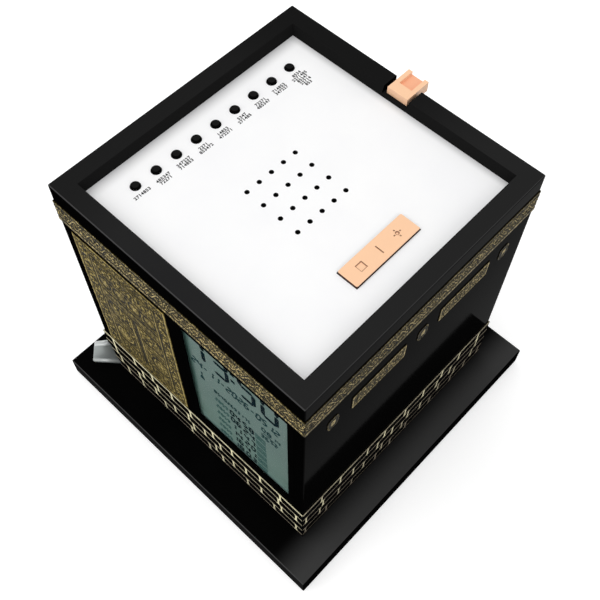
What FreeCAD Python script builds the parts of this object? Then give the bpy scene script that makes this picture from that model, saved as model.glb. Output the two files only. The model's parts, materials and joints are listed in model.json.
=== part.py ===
import FreeCAD, Part
import math
import os
from types import SimpleNamespace

import Sketcher

# Azan clock in the form of a black cube on a square plinth. Millimetres, +Z up, the display faces -Y.
# The origin is the middle of the underside, on the surface that the feet stand on.
SIZES = {
    # plinth, cover and feet
    "foot_height": 1.0, "foot_radius": 6.0, "foot_pocket": 0.6, "foot_inset": 11.7,
    "foot_spacing": 16.0,
    "plinth_width": 149.4, "plinth_height": 10.5, "plinth_wall": 2.5, "plinth_top_skin": 2.5,
    "plinth_corner": 0.5, "plinth_edge": 0.45, "well_ledge": 1.5, "plinth_post_radius": 4.2,
    "cover_thickness": 2.5,
    # cube
    "body_width": 120.0, "body_height": 134.0, "wall": 2.5, "parapet_top_width": 7.2,
    "parapet_base_width": 8.5, "recess_depth": 4.3, "boss_width": 9.0, "boss_height": 18.0,
    "body_edge": 0.5,
    # roof panel
    "panel_thickness": 2.0, "panel_gap": 0.3, "panel_screw_inset": 5.6,
    # round buttons
    "button_row_inset": 19.3, "button_first_y": -38.2, "button_pitch": 9.56, "button_radius": 1.8,
    "button_proud": 1.0, "button_bevel": 0.4, "button_travel": 0.6, "button_flange": 0.9,
    # speaker grille
    "grille_x": 0.8, "grille_y": -1.5, "grille_pitch_x": 8.0, "grille_pitch_y": 6.0,
    "grille_hole_radius": 0.95,
    # wide stop and light key
    "bar_inset": 22.6, "bar_y": -0.4, "bar_width": 8.6, "bar_length": 31.8, "bar_proud": 0.9,
    "bar_travel": 0.8, "bar_stem_place": 9.0, "bar_mark_depth": 0.3, "bar_corner": 0.6,
    # switches and their boards
    "key_gap": 0.25, "flange_gap": 0.3, "flange_thickness": 0.8, "stem_radius": 1.2, "stem_entry": 0.5,
    "switch_width": 6.0, "switch_height": 3.4, "switch_bore": 1.5, "board_drop": 6.2,
    "key_board_thickness": 1.2, "key_board_width": 12.0, "key_board_length": 92.0,
    "bar_board_length": 45.0, "post_radius": 2.2, "pilot_radius": 0.9, "pilot_depth": 3.2,
    "small_head_radius": 1.9, "small_head_height": 1.2, "thread_gap": 0.05,
    # speaker
    "speaker_radius": 25.0, "gasket_thickness": 0.8, "rim_thickness": 1.5, "rim_width": 3.5,
    "basket_depth": 10.5, "basket_foot_radius": 14.0, "basket_skin": 1.3, "coil_hole_radius": 7.6,
    "magnet_height": 8.0, "magnet_radius": 13.8, "magnet_gap_outer": 7.2, "magnet_gap_inner": 5.6,
    "cone_skin": 0.6, "cone_depth": 7.2, "coil_radius": 6.6, "coil_skin": 0.5, "coil_length": 6.5,
    "speaker_post_gap": 0.4, "speaker_head_radius": 3.6,
    # display
    "display_inset": 7.7, "display_width": 50.1, "display_drop": 2.8, "display_rise": 6.6,
    "bezel_side": 2.9, "bezel_sill": 3.0, "bezel_lintel": 2.4, "bezel_gap": 0.15, "bezel_flange": 1.2,
    "flange_reach": 1.6, "pane_inset": 0.4, "pane_thickness": 0.8, "pane_reach": 1.4, "cell_gap": 0.1,
    "glass_thickness": 1.8, "backlight_thickness": 3.0, "strip_height": 2.4,
    "main_board_thickness": 1.6, "main_board_width": 92.0, "main_board_gap": 2.5,
    "board_post_inset": 3.2, "processor_width": 14.0, "processor_thickness": 1.6, "sound_width": 10.0,
    "sound_height": 8.0, "sound_thickness": 1.4, "crystal_radius": 1.6, "crystal_length": 6.0,
    "capacitor_radius": 3.2, "capacitor_height": 8.0, "capacitor_pitch": 9.0, "part_spacing": 24.0,
    # ornament
    "ornament_proud": 0.4, "ridge_proud": 0.25, "belt_drop": 9.0, "belt_height": 11.1,
    "belt_border": 1.0, "curtain_inset": 5.3, "curtain_width": 49.4, "curtain_drop": 2.0,
    "curtain_rise": 2.7, "curtain_border": 7.6, "skirt_height": 28.2, "course_height": 6.8,
    "mortar": 0.7, "brick_length": 12.6, "brick_proud": 0.25, "cartouche_drop": 12.4,
    "cartouche_length": 27.7, "cartouche_height": 8.8, "lozenge_width": 6.6, "lozenge_height": 9.2,
    "lozenge_inset": 13.7,
    # spout
    "spout_x": -0.8, "spout_width": 9.4, "spout_height": 3.1, "spout_length": 12.1,
    "spout_seat": 6.8, "spout_rim": 1.8, "spout_tray_depth": 1.5, "spout_tray_start": 4.5,
    "spout_lip_drop": 1.4, "notch_gap": 1.3,
    # silver corner casing and its stone
    "casing_reach": 8.4, "casing_bottom": 2.8, "casing_height": 15.2, "casing_top_half": 1.5,
    "casing_waist_half": 2.8, "casing_foot_half": 3.9, "casing_foot_height": 2.6, "casing_taper": 0.82,
    "casing_lean": 3.5,
    "stone_depth": 2.4, "stone_half_height": 4.6, "stone_half_width": 1.5, "stone_gap": 0.15,
    # battery bay
    "cell_radius": 7.25, "cell_length": 49.5, "cell_pitch": 15.2, "nub_radius": 2.7, "nub_length": 1.0,
    "bay_skin": 1.5, "bay_side_gap": 0.6, "door_thickness": 1.6, "door_gap": 0.4, "cell_lift": 0.4,
    "contact_plate": 0.5, "contact_width": 9.0, "spring_length": 5.0, "spring_width": 6.0,
    "spring_half_height": 3.6, "spring_skin": 0.4, "end_play": 0.3,
    # long base screws
    "screw_radius": 1.45, "screw_gap": 0.4, "screw_head_radius": 3.0, "screw_head_height": 1.5,
    "screw_grip": 14.0,
    # setting keys on the back
    "setting_z": 60.0, "setting_pitch": 14.0, "setting_radius": 2.5, "setting_travel": 0.6,
    "setting_board_width": 66.0, "setting_board_height": 14.0,
}
BUTTON_COUNT = 9
GRILLE_ROWS = 4
GRILLE_COLUMNS = 5
CELL_COUNT = 3
SETTING_COUNT = 4
COURSE_COUNT = 4
CORNERS = [(-1, -1), (1, -1), (1, 1), (-1, 1)]
UP = FreeCAD.Rotation()
TO_BACK = FreeCAD.Rotation(FreeCAD.Vector(1, 0, 0), -90)
TO_FRONT = FreeCAD.Rotation(FreeCAD.Vector(1, 0, 0), 90)
TO_RIGHT = FreeCAD.Rotation(FreeCAD.Vector(0, 1, 0), 90)
ACROSS = FreeCAD.Rotation(90, 0, 90)


class Length:
    """A size that carries both its number and the spreadsheet formula that gives it."""

    def __init__(self, text, value):
        self.text = text
        self.value = value

    def mixed(self, sign, other, swapped=False):
        other = length(other)
        first, second = (other, self) if swapped else (self, other)
        results = {
            "+": lambda: first.value + second.value,
            "-": lambda: first.value - second.value,
            "*": lambda: first.value * second.value,
            "/": lambda: first.value / second.value,
        }
        return Length(f"({first.text} {sign} {second.text})", results[sign]())

    def __add__(self, other):
        return self.mixed("+", other)

    def __radd__(self, other):
        return self.mixed("+", other, True)

    def __sub__(self, other):
        return self.mixed("-", other)

    def __rsub__(self, other):
        return self.mixed("-", other, True)

    def __mul__(self, other):
        return self.mixed("*", other)

    def __rmul__(self, other):
        return self.mixed("*", other, True)

    def __truediv__(self, other):
        return self.mixed("/", other)

    def __neg__(self):
        return Length(f"(0 - {self.text})", -self.value)

    def __float__(self):
        return float(self.value)


def length(value):
    return value if isinstance(value, Length) else Length(f"{float(value):.6f}", float(value))


doc = FreeCAD.newDocument("azan_clock")
sheet = doc.addObject("Spreadsheet::Sheet", "sizes")
for row, (name, number) in enumerate(SIZES.items(), start=1):
    sheet.set(f"A{row}", name)
    sheet.set(f"B{row}", str(number))
    sheet.setAlias(f"B{row}", name)
doc.recompute()
s = SimpleNamespace(**{name: Length(f"sizes.{name}", float(sheet.get(name))) for name in SIZES})
nodes = []


def bind(item, **formulas):
    """Binds the properties of a document object to sheet formulas."""
    for prop, value in formulas.items():
        item.setExpression(prop, length(value).text)


def place(item, x=0, y=0, z=0, turn=UP):
    """Sets a placement whose three offsets follow the sheet."""
    x, y, z = length(x), length(y), length(z)
    item.Placement = FreeCAD.Placement(FreeCAD.Vector(float(x), float(y), float(z)), turn)
    item.setExpression("Placement.Base.x", x.text)
    item.setExpression("Placement.Base.y", y.text)
    item.setExpression("Placement.Base.z", z.text)
    return item


def keep(item, label):
    """Names a finished sub-part: its label is its node name."""
    item.Label = label
    nodes.append(item)
    return item


def block(name, x, y, z):
    """A box between two planes on each axis."""
    item = doc.addObject("Part::Box", name)
    bind(item, Length=length(x[1]) - x[0], Width=length(y[1]) - y[0], Height=length(z[1]) - z[0])
    return place(item, x[0], y[0], z[0])


def centred(name, width, depth, z, x=0, y=0):
    """A box centred on a vertical line."""
    width, depth = length(width), length(depth)
    return block(name, (x - width / 2, x + width / 2), (y - depth / 2, y + depth / 2), z)


def rod(name, radius, size, x=0, y=0, z=0, turn=UP):
    """A round bar that starts at a point and runs along its turned axis."""
    item = doc.addObject("Part::Cylinder", name)
    bind(item, Radius=radius, Height=size)
    return place(item, x, y, z, turn)


def join(name, *parts):
    item = doc.addObject("Part::MultiFuse", name)
    item.Shapes = list(parts)
    return item


def cut(name, base, *tools):
    item = doc.addObject("Part::Cut", name)
    item.Base = base
    item.Tool = tools[0] if len(tools) == 1 else join(f"{name}_tools", *tools)
    return item


def bundle(name, parts):
    """Identical pieces that stay separate solids in one node."""
    item = doc.addObject("Part::Compound", name)
    item.Links = parts
    return item


def origin_plane(body, role):
    return next(plane for plane in body.Origin.OriginFeatures if plane.Role == role)


def outline(body, name, role, points, offset=None):
    """A closed polygon sketch with each corner bound to the sheet."""
    sketch = body.newObject("Sketcher::SketchObject", name)
    sketch.AttachmentSupport = [(origin_plane(body, role), "")]
    sketch.MapMode = "FlatFace"
    if offset is not None:
        sketch.setExpression("AttachmentOffset.Base.z", length(offset).text)
    points = [(length(u), length(v)) for u, v in points]
    corners = [FreeCAD.Vector(float(u), float(v), 0) for u, v in points]
    count = len(points)
    for index in range(count):
        sketch.addGeometry(Part.LineSegment(corners[index], corners[(index + 1) % count]), False)
    for index in range(count):
        sketch.addConstraint(Sketcher.Constraint("Coincident", index, 2, (index + 1) % count, 1))
    for index, corner in enumerate(points):
        for kind, axis, value in (("DistanceX", -2, corner[0]), ("DistanceY", -1, corner[1])):
            if abs(float(value)) < 1e-9:
                sketch.addConstraint(Sketcher.Constraint("PointOnObject", index, 1, axis))
                continue
            rule = Sketcher.Constraint(kind, -1, 1, index, 1, float(value))
            sketch.setExpression(f"Constraints[{sketch.addConstraint(rule)}]", value.text)
    return sketch


def rectangle(width, depth, x=0, y=0):
    width, depth = length(width), length(depth)
    left, right = x - width / 2, x + width / 2
    low, high = y - depth / 2, y + depth / 2
    return [(left, low), (right, low), (right, high), (left, high)]


def new_body(name):
    return doc.addObject("PartDesign::Body", name)


def pad(body, name, points, size, offset=0, role="XY_Plane"):
    item = body.newObject("PartDesign::Pad", name)
    item.Profile = outline(body, f"{name}_sketch", role, points, offset)
    bind(item, Length=size)
    return item


def pocket(body, name, points, size, offset=0, role="XY_Plane"):
    """Cuts upwards from its sketch plane, into the solid above it."""
    item = body.newObject("PartDesign::Pocket", name)
    item.Profile = outline(body, f"{name}_sketch", role, points, offset)
    item.Reversed = True
    bind(item, Length=size)
    return item


def turned(name, points, x=0, y=0, z=0, turn=UP):
    """A body of revolution about its own Z axis, from a profile of radius and height pairs."""
    body = new_body(name)
    item = body.newObject("PartDesign::Revolution", f"{name}_turning")
    sketch = outline(body, f"{name}_profile", "XZ_Plane", points)
    item.Profile = sketch
    item.ReferenceAxis = (sketch, ["V_Axis"])
    item.Angle = 360
    body.Tip = item
    return place(body, x, y, z, turn)


def soften(name, base, radius, wanted):
    """Rounds the edges that a test on their end points picks out."""
    doc.recompute()
    item = doc.addObject("Part::Fillet", name)
    item.Base = base
    chosen = []
    for index, edge in enumerate(base.Shape.Edges, start=1):
        if len(edge.Vertexes) == 2 and wanted(*(vertex.Point for vertex in edge.Vertexes)):
            chosen.append((index, float(radius), float(radius)))
    item.Edges = chosen
    return item


def upright(first, second):
    return abs(first.x - second.x) < 1e-6 and abs(first.y - second.y) < 1e-6


# Levels and half widths that several pieces share
cover_top = s.foot_height + s.cover_thickness
plinth_top = s.foot_height + s.plinth_height
body_top = plinth_top + s.body_height
roof = body_top - s.recess_depth
panel_under = roof - s.panel_thickness
half_body = s.body_width / 2
half_inside = half_body - s.wall
well_width = (half_inside - s.boss_width - s.well_ledge) * 2
foot_x = s.plinth_width / 2 - s.foot_inset
panel_screw_place = half_body - s.panel_screw_inset
button_row_x = s.button_row_inset - half_body
bar_x = half_body - s.bar_inset
belt_low = body_top - s.belt_drop - s.belt_height
display_x = half_body - s.display_inset - s.display_width / 2
display_high = belt_low - s.display_drop
display_low = plinth_top + s.skirt_height + s.display_rise
boss_place = half_inside - s.boss_width / 2
foot_y = boss_place - s.foot_spacing
key_board_top = panel_under - s.board_drop
thread_radius = s.pilot_radius - s.thread_gap


def make_plinth():
    """Square moulded base, open below, with a well under the cube and four screw posts."""
    body = new_body("plinth_body")
    inner = s.plinth_width - s.plinth_wall * 2
    pad(body, "plinth_block", rectangle(s.plinth_width, s.plinth_width), s.plinth_height)
    pocket(body, "plinth_hollow", rectangle(inner, inner), s.plinth_height - s.plinth_top_skin)
    well = rectangle(well_width, well_width)
    body.Tip = pocket(body, "plinth_well", well, s.plinth_height)
    place(body, z=s.foot_height)
    posts = []
    holes = []
    for index, (side_x, side_y) in enumerate(CORNERS):
        x, y = boss_place * side_x, boss_place * side_y
        post_size = plinth_top - cover_top - s.plinth_top_skin / 2
        posts.append(rod(f"plinth_post_{index}", s.plinth_post_radius, post_size, x, y, cover_top))
        hole_radius = s.screw_radius + s.screw_gap
        holes.append(rod(f"plinth_hole_{index}", hole_radius, s.plinth_height, x, y, s.foot_height))
    shell = soften("plinth_rounded", body, s.plinth_corner, on_rim_corner)
    edged = soften("plinth_edged", shell, s.plinth_edge, on_top_rim)
    keep(cut("plinth", join("plinth_posted", edged, *posts), *holes), "plinth")


def on_rim_corner(first, second):
    reach = float(s.plinth_width) / 2 - 1e-6
    return upright(first, second) and abs(first.x) > reach and abs(first.y) > reach


def on_top_rim(first, second):
    level = float(plinth_top) - 1e-6
    reach = float(well_width) / 2 + 1
    outside = all(max(abs(point.x), abs(point.y)) > reach for point in (first, second))
    return first.z > level and second.z > level and outside


bay_width = s.cell_pitch * (CELL_COUNT - 1) + s.cell_radius * 2 + s.bay_side_gap * 2
bay_length = s.cell_length + s.nub_length + s.spring_length + s.contact_plate * 2 + s.end_play
bay_roof = s.foot_height + s.door_thickness + s.cell_lift + s.cell_radius * 2 + s.end_play
cell_axis = s.foot_height + s.door_thickness + s.cell_lift + s.cell_radius


def make_bottom_cover():
    """Flat cover with the battery bay standing on it and sunk seats for feet and screw heads."""
    body = new_body("cover_body")
    width = s.plinth_width - s.plinth_wall * 2 - s.panel_gap * 2
    pad(body, "cover_plate", rectangle(width, width), s.cover_thickness)
    outer = rectangle(bay_width + s.bay_skin * 2, bay_length + s.bay_skin * 2)
    pad(body, "bay_walls", outer, bay_roof + s.bay_skin - s.foot_height)
    body.Tip = pocket(body, "bay_hollow", rectangle(bay_width, bay_length), bay_roof - s.foot_height)
    place(body, z=s.foot_height)
    seats = []
    for index, (side_x, side_y) in enumerate(CORNERS):
        x, y = boss_place * side_x, boss_place * side_y
        seats.append(rod(f"cover_hole_{index}", s.screw_radius + s.screw_gap, s.cover_thickness, x, y,
                         s.foot_height))
        seats.append(rod(f"cover_sink_{index}", s.screw_head_radius + s.screw_gap, s.screw_head_height,
                         x, y, s.foot_height))
        seats.append(rod(f"foot_seat_{index}", s.foot_radius + s.key_gap, s.foot_pocket, foot_x * side_x,
                         foot_y * side_y, s.foot_height))
    keep(cut("bottom_cover", body, *seats), "bottom_cover")


def make_battery_door():
    """Door in the bay mouth that swings down about a round edge."""
    half_length = bay_length / 2 - s.door_gap
    half_width = bay_width / 2 - s.door_gap
    pivot = s.door_thickness / 2 - half_length
    z = (s.foot_height, s.foot_height + s.door_thickness)
    plate = block("door_plate", (-half_width, half_width), (pivot, half_length), z)
    edge = rod("door_edge", s.door_thickness / 2, half_width * 2, -half_width, pivot,
               s.foot_height + s.door_thickness / 2, TO_RIGHT)
    grip = centred("door_grip", s.cell_pitch, s.door_thickness * 2,
                   (s.foot_height, s.foot_height + s.door_thickness / 2), 0, half_length)
    keep(cut("battery_door", join("door_slab", plate, edge), grip), "battery_door")


def make_feet():
    pads = []
    rim = s.foot_pocket / 2
    profile = [(0, 0), (s.foot_radius - rim, 0), (s.foot_radius, rim),
               (s.foot_radius, s.foot_height + s.foot_pocket), (0, s.foot_height + s.foot_pocket)]
    for index, (side_x, side_y) in enumerate(CORNERS):
        pads.append(turned(f"foot_{index}", profile, foot_x * side_x, foot_y * side_y))
    keep(bundle("feet", pads), "feet")


def make_batteries():
    cells = []
    plates = []
    springs = []
    plus_end = bay_length / 2 - s.contact_plate
    minus_end = plus_end - s.cell_length - s.nub_length
    for index in range(CELL_COUNT):
        x = s.cell_pitch * (index - (CELL_COUNT - 1) / 2)
        profile = [(0, 0), (s.cell_radius, 0), (s.cell_radius, s.cell_length),
                   (s.nub_radius, s.cell_length), (s.nub_radius, s.cell_length + s.nub_length),
                   (0, s.cell_length + s.nub_length)]
        cells.append(turned(f"cell_{index}", profile, x, minus_end, cell_axis, TO_BACK))
        z = (cell_axis - s.contact_width / 2, cell_axis + s.contact_width / 2)
        plate_x = (x - s.contact_width / 2, x + s.contact_width / 2)
        for end, inner in (("plus", plus_end), ("minus", -bay_length / 2)):
            y = (inner, inner + s.contact_plate)
            plates.append(block(f"plate_{end}_{index}", plate_x, y, z))
        springs.append(leaf_spring(f"spring_{index}", x, s.contact_plate - bay_length / 2))
    keep(bundle("batteries", cells), "batteries")
    keep(bundle("battery_plates", plates), "battery_plates")
    keep(bundle("battery_springs", springs), "battery_springs")


def leaf_spring(name, x, y):
    """Bent strip that presses on a cell's flat end, standing out from a contact plate."""
    half, skin, reach = s.spring_half_height, s.spring_skin, s.spring_length
    body = new_body(name)
    points = [(0, -half), (skin * 1.5, -half), (reach, -skin), (reach, skin), (skin * 1.5, half),
              (0, half), (reach - skin * 2, 0)]
    body.Tip = pad(body, f"{name}_strip", points, s.spring_width)
    return place(body, x - s.spring_width / 2, y, cell_axis, ACROSS)


def make_base_screws():
    screws = []
    top = plinth_top + s.screw_grip - s.foot_height
    profile = [(0, 0), (s.screw_head_radius, 0), (s.screw_head_radius, s.screw_head_height),
               (s.screw_radius, s.screw_head_height), (s.screw_radius, top - s.screw_radius), (0, top)]
    for index, (side_x, side_y) in enumerate(CORNERS):
        screws.append(turned(f"base_screw_{index}", profile, boss_place * side_x, boss_place * side_y,
                             s.foot_height))
    keep(bundle("base_screws", screws), "base_screws")


spout_left = s.spout_x - s.spout_width / 2
spout_right = s.spout_x + s.spout_width / 2
bezel_left = display_x - s.display_width / 2 - s.bezel_side
bezel_right = display_x + s.display_width / 2 + s.bezel_side
bezel_bottom = display_low - s.bezel_sill
bezel_top = display_high + s.bezel_lintel
board_front = (s.pane_inset + s.pane_thickness + s.glass_thickness + s.backlight_thickness
               + s.cell_gap * 3 - half_body)
board_right = half_inside - s.main_board_gap
board_left = board_right - s.main_board_width
board_x = (board_left + board_right) / 2
board_margin = s.flange_reach + s.panel_gap + s.post_radius + s.board_post_inset
board_bottom = bezel_bottom - board_margin
board_top = bezel_top + board_margin
board_middle = (board_bottom + board_top) / 2
setting_level = plinth_top + s.setting_z
setting_back = half_inside - s.board_drop
setting_posts = [s.setting_board_width / 2 - s.board_post_inset, s.board_post_inset - s.setting_board_width / 2]


def board_corners():
    inset = s.board_post_inset
    return [(x, z) for x in (board_left + inset, board_right - inset)
            for z in (board_bottom + inset, board_top - inset)]


def setting_places():
    return [s.setting_pitch * (index - (SETTING_COUNT - 1) / 2) for index in range(SETTING_COUNT)]


def make_body_shell():
    """Four walls with a parapet; the roof recess tapers, and a ledge carries the roof panel from above."""
    outer = soften("shell_rounded", centred("shell_block", s.body_width, s.body_width,
                                            (plinth_top, body_top)), s.body_edge, off_the_plinth)
    hollow = centred("shell_hollow", half_inside * 2, half_inside * 2, (plinth_top, roof))
    recess = doc.addObject("Part::Wedge", "roof_recess")
    low = half_body - s.parapet_base_width
    high = half_body - s.parapet_top_width
    bind(recess, Xmin=-low, Xmax=low, Zmin=-low, Zmax=low, X2min=-high, X2max=high, Z2min=-high,
         Z2max=high, Ymin=0, Ymax=s.recess_depth)
    place(recess, 0, 0, roof, TO_FRONT)
    window = block("display_opening", (bezel_left - s.bezel_gap, bezel_right + s.bezel_gap),
                   (-half_body, -half_inside), (bezel_bottom - s.bezel_gap, bezel_top + s.bezel_gap))
    notch = block("spout_notch", (spout_left - s.notch_gap, spout_right + s.notch_gap),
                  (half_body - s.parapet_base_width, half_body), (body_top - s.spout_height, body_top))
    tools = [hollow, recess, window, notch]
    bosses = []
    pilots = []
    for index, (side_x, side_y) in enumerate(CORNERS):
        x, y = boss_place * side_x, boss_place * side_y
        bosses.append(centred(f"boss_{index}", s.boss_width, s.boss_width,
                              (plinth_top, plinth_top + s.boss_height), x, y))
        pilots.append(rod(f"boss_pilot_{index}", s.screw_radius + s.thread_gap, s.boss_height, x, y,
                          plinth_top))
        ledge_x, ledge_y = panel_screw_place * side_x, panel_screw_place * side_y
        pilots.append(rod(f"ledge_pilot_{index}", s.pilot_radius, s.pilot_depth, ledge_x, ledge_y, roof))
    for index, (x, z) in enumerate(board_corners()):
        size = board_front + half_inside
        bosses.append(rod(f"board_post_{index}", s.post_radius, size, x, -half_inside, z, TO_BACK))
        pilots.append(rod(f"board_pilot_{index}", s.pilot_radius, s.pilot_depth, x,
                          board_front - s.pilot_depth, z, TO_BACK))
    for index, x in enumerate(setting_places()):
        tools.append(rod(f"setting_hole_{index}", s.setting_radius + s.key_gap, s.wall, x, half_inside,
                         setting_level, TO_BACK))
    for index, x in enumerate(setting_posts):
        bosses.append(rod(f"setting_post_{index}", s.post_radius, s.board_drop, x, half_inside,
                          setting_level, TO_FRONT))
        pilots.append(rod(f"setting_pilot_{index}", s.pilot_radius, s.pilot_depth, x, setting_back,
                          setting_level, TO_BACK))
    shell = cut("shell_open", outer, *tools)
    keep(cut("body_shell", join("shell_posted", shell, *bosses), *pilots), "body_shell")


def off_the_plinth(first, second):
    return max(first.z, second.z) > float(body_top) - 1e-6


def grille_places():
    rows = [s.grille_x + s.grille_pitch_x * (row - (GRILLE_ROWS - 1) / 2) for row in range(GRILLE_ROWS)]
    columns = [s.grille_y + s.grille_pitch_y * (column - (GRILLE_COLUMNS - 1) / 2)
               for column in range(GRILLE_COLUMNS)]
    return [(x, y) for x in rows for y in columns]


def button_places():
    return [s.button_first_y + s.button_pitch * index for index in range(BUTTON_COUNT)]


button_middle = s.button_first_y + s.button_pitch * (BUTTON_COUNT - 1) / 2
speaker_screw_circle = s.speaker_radius + s.speaker_post_gap + s.post_radius
key_post_places = [(button_row_x, button_middle + side * (s.key_board_length / 2 - s.post_radius))
                   for side in (-1, 1)]
bar_post_places = [(bar_x, s.bar_y + side * (s.bar_board_length / 2 - s.post_radius))
                   for side in (-1, 1)]


def speaker_post_places():
    diagonal = speaker_screw_circle * math.sqrt(0.5)
    return [(s.grille_x + diagonal * side_x, s.grille_y + diagonal * side_y) for side_x, side_y in CORNERS]


def make_top_panel():
    """Roof panel with its button holes, speaker grille, key slot and the posts of boards and speaker."""
    width = (half_inside - s.panel_gap) * 2
    plate = centred("panel_plate", width, width, (panel_under, roof))
    holes = []
    for index, y in enumerate(button_places()):
        holes.append(rod(f"button_hole_{index}", s.button_radius + s.key_gap, s.panel_thickness,
                         button_row_x, y, panel_under))
    for index, (x, y) in enumerate(grille_places()):
        holes.append(rod(f"grille_hole_{index}", s.grille_hole_radius, s.panel_thickness, x, y,
                         panel_under))
    holes.append(centred("bar_slot", s.bar_width + s.key_gap * 2, s.bar_length + s.key_gap * 2,
                         (panel_under, roof), bar_x, s.bar_y))
    for index, (side_x, side_y) in enumerate(CORNERS):
        holes.append(rod(f"panel_hole_{index}", s.pilot_radius + s.key_gap, s.panel_thickness,
                         panel_screw_place * side_x, panel_screw_place * side_y, panel_under))
    posts = []
    pilots = []
    for index, (x, y) in enumerate(key_post_places + bar_post_places):
        posts.append(rod(f"key_post_{index}", s.post_radius, s.board_drop, x, y, key_board_top))
        pilots.append(rod(f"key_pilot_{index}", s.pilot_radius, s.pilot_depth, x, y, key_board_top))
    post_drop = s.gasket_thickness + s.rim_thickness
    for index, (x, y) in enumerate(speaker_post_places()):
        posts.append(rod(f"speaker_post_{index}", s.post_radius, post_drop, x, y, panel_under - post_drop))
        pilots.append(rod(f"speaker_pilot_{index}", s.pilot_radius, s.pilot_depth, x, y,
                          panel_under - post_drop))
    pierced = cut("panel_pierced", plate, *holes)
    keep(cut("top_panel", join("panel_posted", pierced, *posts), *pilots), "top_panel")


def key_profile(radius, skin):
    """Half section of a round key from its outer face inwards; height 0 is the face that it sits in."""
    under = -(skin + s.flange_gap)
    foot = s.switch_height - s.stem_entry - s.board_drop - skin
    return [(0, s.button_proud), (radius - s.button_bevel, s.button_proud),
            (radius, s.button_proud - s.button_bevel), (radius, under), (radius + s.button_flange, under),
            (radius + s.button_flange, under - s.flange_thickness),
            (s.stem_radius, under - s.flange_thickness), (s.stem_radius, foot), (0, foot)]


def make_buttons():
    profile = key_profile(s.button_radius, s.panel_thickness)
    for number, y in enumerate(button_places(), start=1):
        keep(turned(f"button_body_{number}", profile, button_row_x, y, roof), f"button_{number}")


def make_wide_key():
    """Wide key with a flange below the panel, two stems and three marks sunk in its top."""
    flange = s.button_flange * 2
    key = new_body("wide_key_body")
    foot = key_board_top + s.switch_height - s.stem_entry
    flange_top = panel_under - s.flange_gap
    cap = rectangle(s.bar_width, s.bar_length)
    pad(key, "key_cap", cap, roof + s.bar_proud - flange_top, flange_top - foot)
    skirt = rectangle(s.bar_width + flange, s.bar_length + flange)
    key.Tip = pad(key, "key_flange", skirt, s.flange_thickness, flange_top - s.flange_thickness - foot)
    place(key, bar_x, s.bar_y, foot)
    rounded = soften("key_rounded", key, s.bar_corner, on_cap_corner)
    stems = [rod(f"key_stem_{index}", s.stem_radius, flange_top - foot - s.flange_thickness / 2, bar_x,
                 s.bar_y + side * s.bar_stem_place, foot) for index, side in enumerate((-1, 1))]
    keep(cut("wide_key", join("key_stemmed", rounded, *stems), *key_marks()), "wide_key")


def on_cap_corner(first, second):
    level = float(panel_under - s.flange_gap) - 1e-6
    return upright(first, second) and min(first.z, second.z) > level


def key_marks():
    """Stop square, slanted stroke and lamp with rays."""
    top = roof + s.bar_proud
    depth = (top - s.bar_mark_depth, top)
    mark = s.bar_width * 0.36
    stroke = mark * 0.16
    marks = [centred("mark_stop", mark, mark, depth, bar_x, s.bar_y - s.bar_stem_place)]
    slash = centred("mark_slash", mark * 1.2, stroke, depth, bar_x, s.bar_y)
    marks.append(slash)
    marks.append(rod("mark_lamp", mark * 0.26, s.bar_mark_depth, bar_x, s.bar_y + s.bar_stem_place,
                     top - s.bar_mark_depth))
    for index, (side_x, side_y) in enumerate([(-1, 0), (1, 0), (0, -1), (0, 1)]):
        reach = mark * 0.46
        width = stroke if side_x == 0 else mark * 0.2
        depth_y = stroke if side_y == 0 else mark * 0.2
        marks.append(centred(f"mark_ray_{index}", width, depth_y, depth, bar_x + reach * side_x,
                             s.bar_y + s.bar_stem_place + reach * side_y))
    return marks


def make_switches(label, places, level, travel):
    """Square push switches whose bore takes the key's stem."""
    switches = []
    bore = s.stem_entry + travel + s.key_gap
    for index, (x, y) in enumerate(places):
        case = centred(f"{label}_case_{index}", s.switch_width, s.switch_width,
                       (level, level + s.switch_height), x, y)
        hole = rod(f"{label}_bore_{index}", s.switch_bore, bore, x, y, level + s.switch_height - bore)
        switches.append(cut(f"{label}_{index}", case, hole))
    keep(bundle(label, switches), label)


def make_screws(label, places, turn, board=s.key_board_thickness, head=s.small_head_radius):
    """Small screws whose heads bear on a board and whose threads run into a post."""
    profile = [(0, -s.small_head_height), (head, -s.small_head_height), (head, 0), (thread_radius, 0),
               (thread_radius, board + s.pilot_depth - s.key_gap),
               (0, board + s.pilot_depth - s.key_gap)]
    screws = [turned(f"{label}_{index}", profile, x, y, z, turn) for index, (x, y, z) in enumerate(places)]
    keep(bundle(label, screws), label)


def drilled_board(label, slab, places, turn, thickness):
    holes = [rod(f"{label}_hole_{index}", s.pilot_radius + s.key_gap, thickness, x, y, z, turn)
             for index, (x, y, z) in enumerate(places)]
    keep(cut(label, slab, *holes), label)


def make_key_electrics():
    low = key_board_top - s.key_board_thickness
    level = (low, key_board_top)
    slab = centred("key_slab", s.key_board_width, s.key_board_length, level, button_row_x, button_middle)
    places = [(x, y, low) for x, y in key_post_places]
    drilled_board("key_board", slab, places, UP, s.key_board_thickness)
    make_screws("key_board_screws", places, UP)
    make_switches("key_switches", [(button_row_x, y) for y in button_places()], key_board_top,
                  s.button_travel)
    slab = centred("bar_slab", s.key_board_width, s.bar_board_length, level, bar_x, s.bar_y)
    places = [(x, y, low) for x, y in bar_post_places]
    drilled_board("bar_board", slab, places, UP, s.key_board_thickness)
    make_screws("bar_board_screws", places, UP)
    stems = [(bar_x, s.bar_y + side * s.bar_stem_place) for side in (-1, 1)]
    make_switches("bar_switches", stems, key_board_top, s.bar_travel)
    panel_places = [(panel_screw_place * side_x, panel_screw_place * side_y, panel_under)
                    for side_x, side_y in CORNERS]
    make_screws("panel_screws", panel_places, UP, s.panel_thickness)


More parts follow.
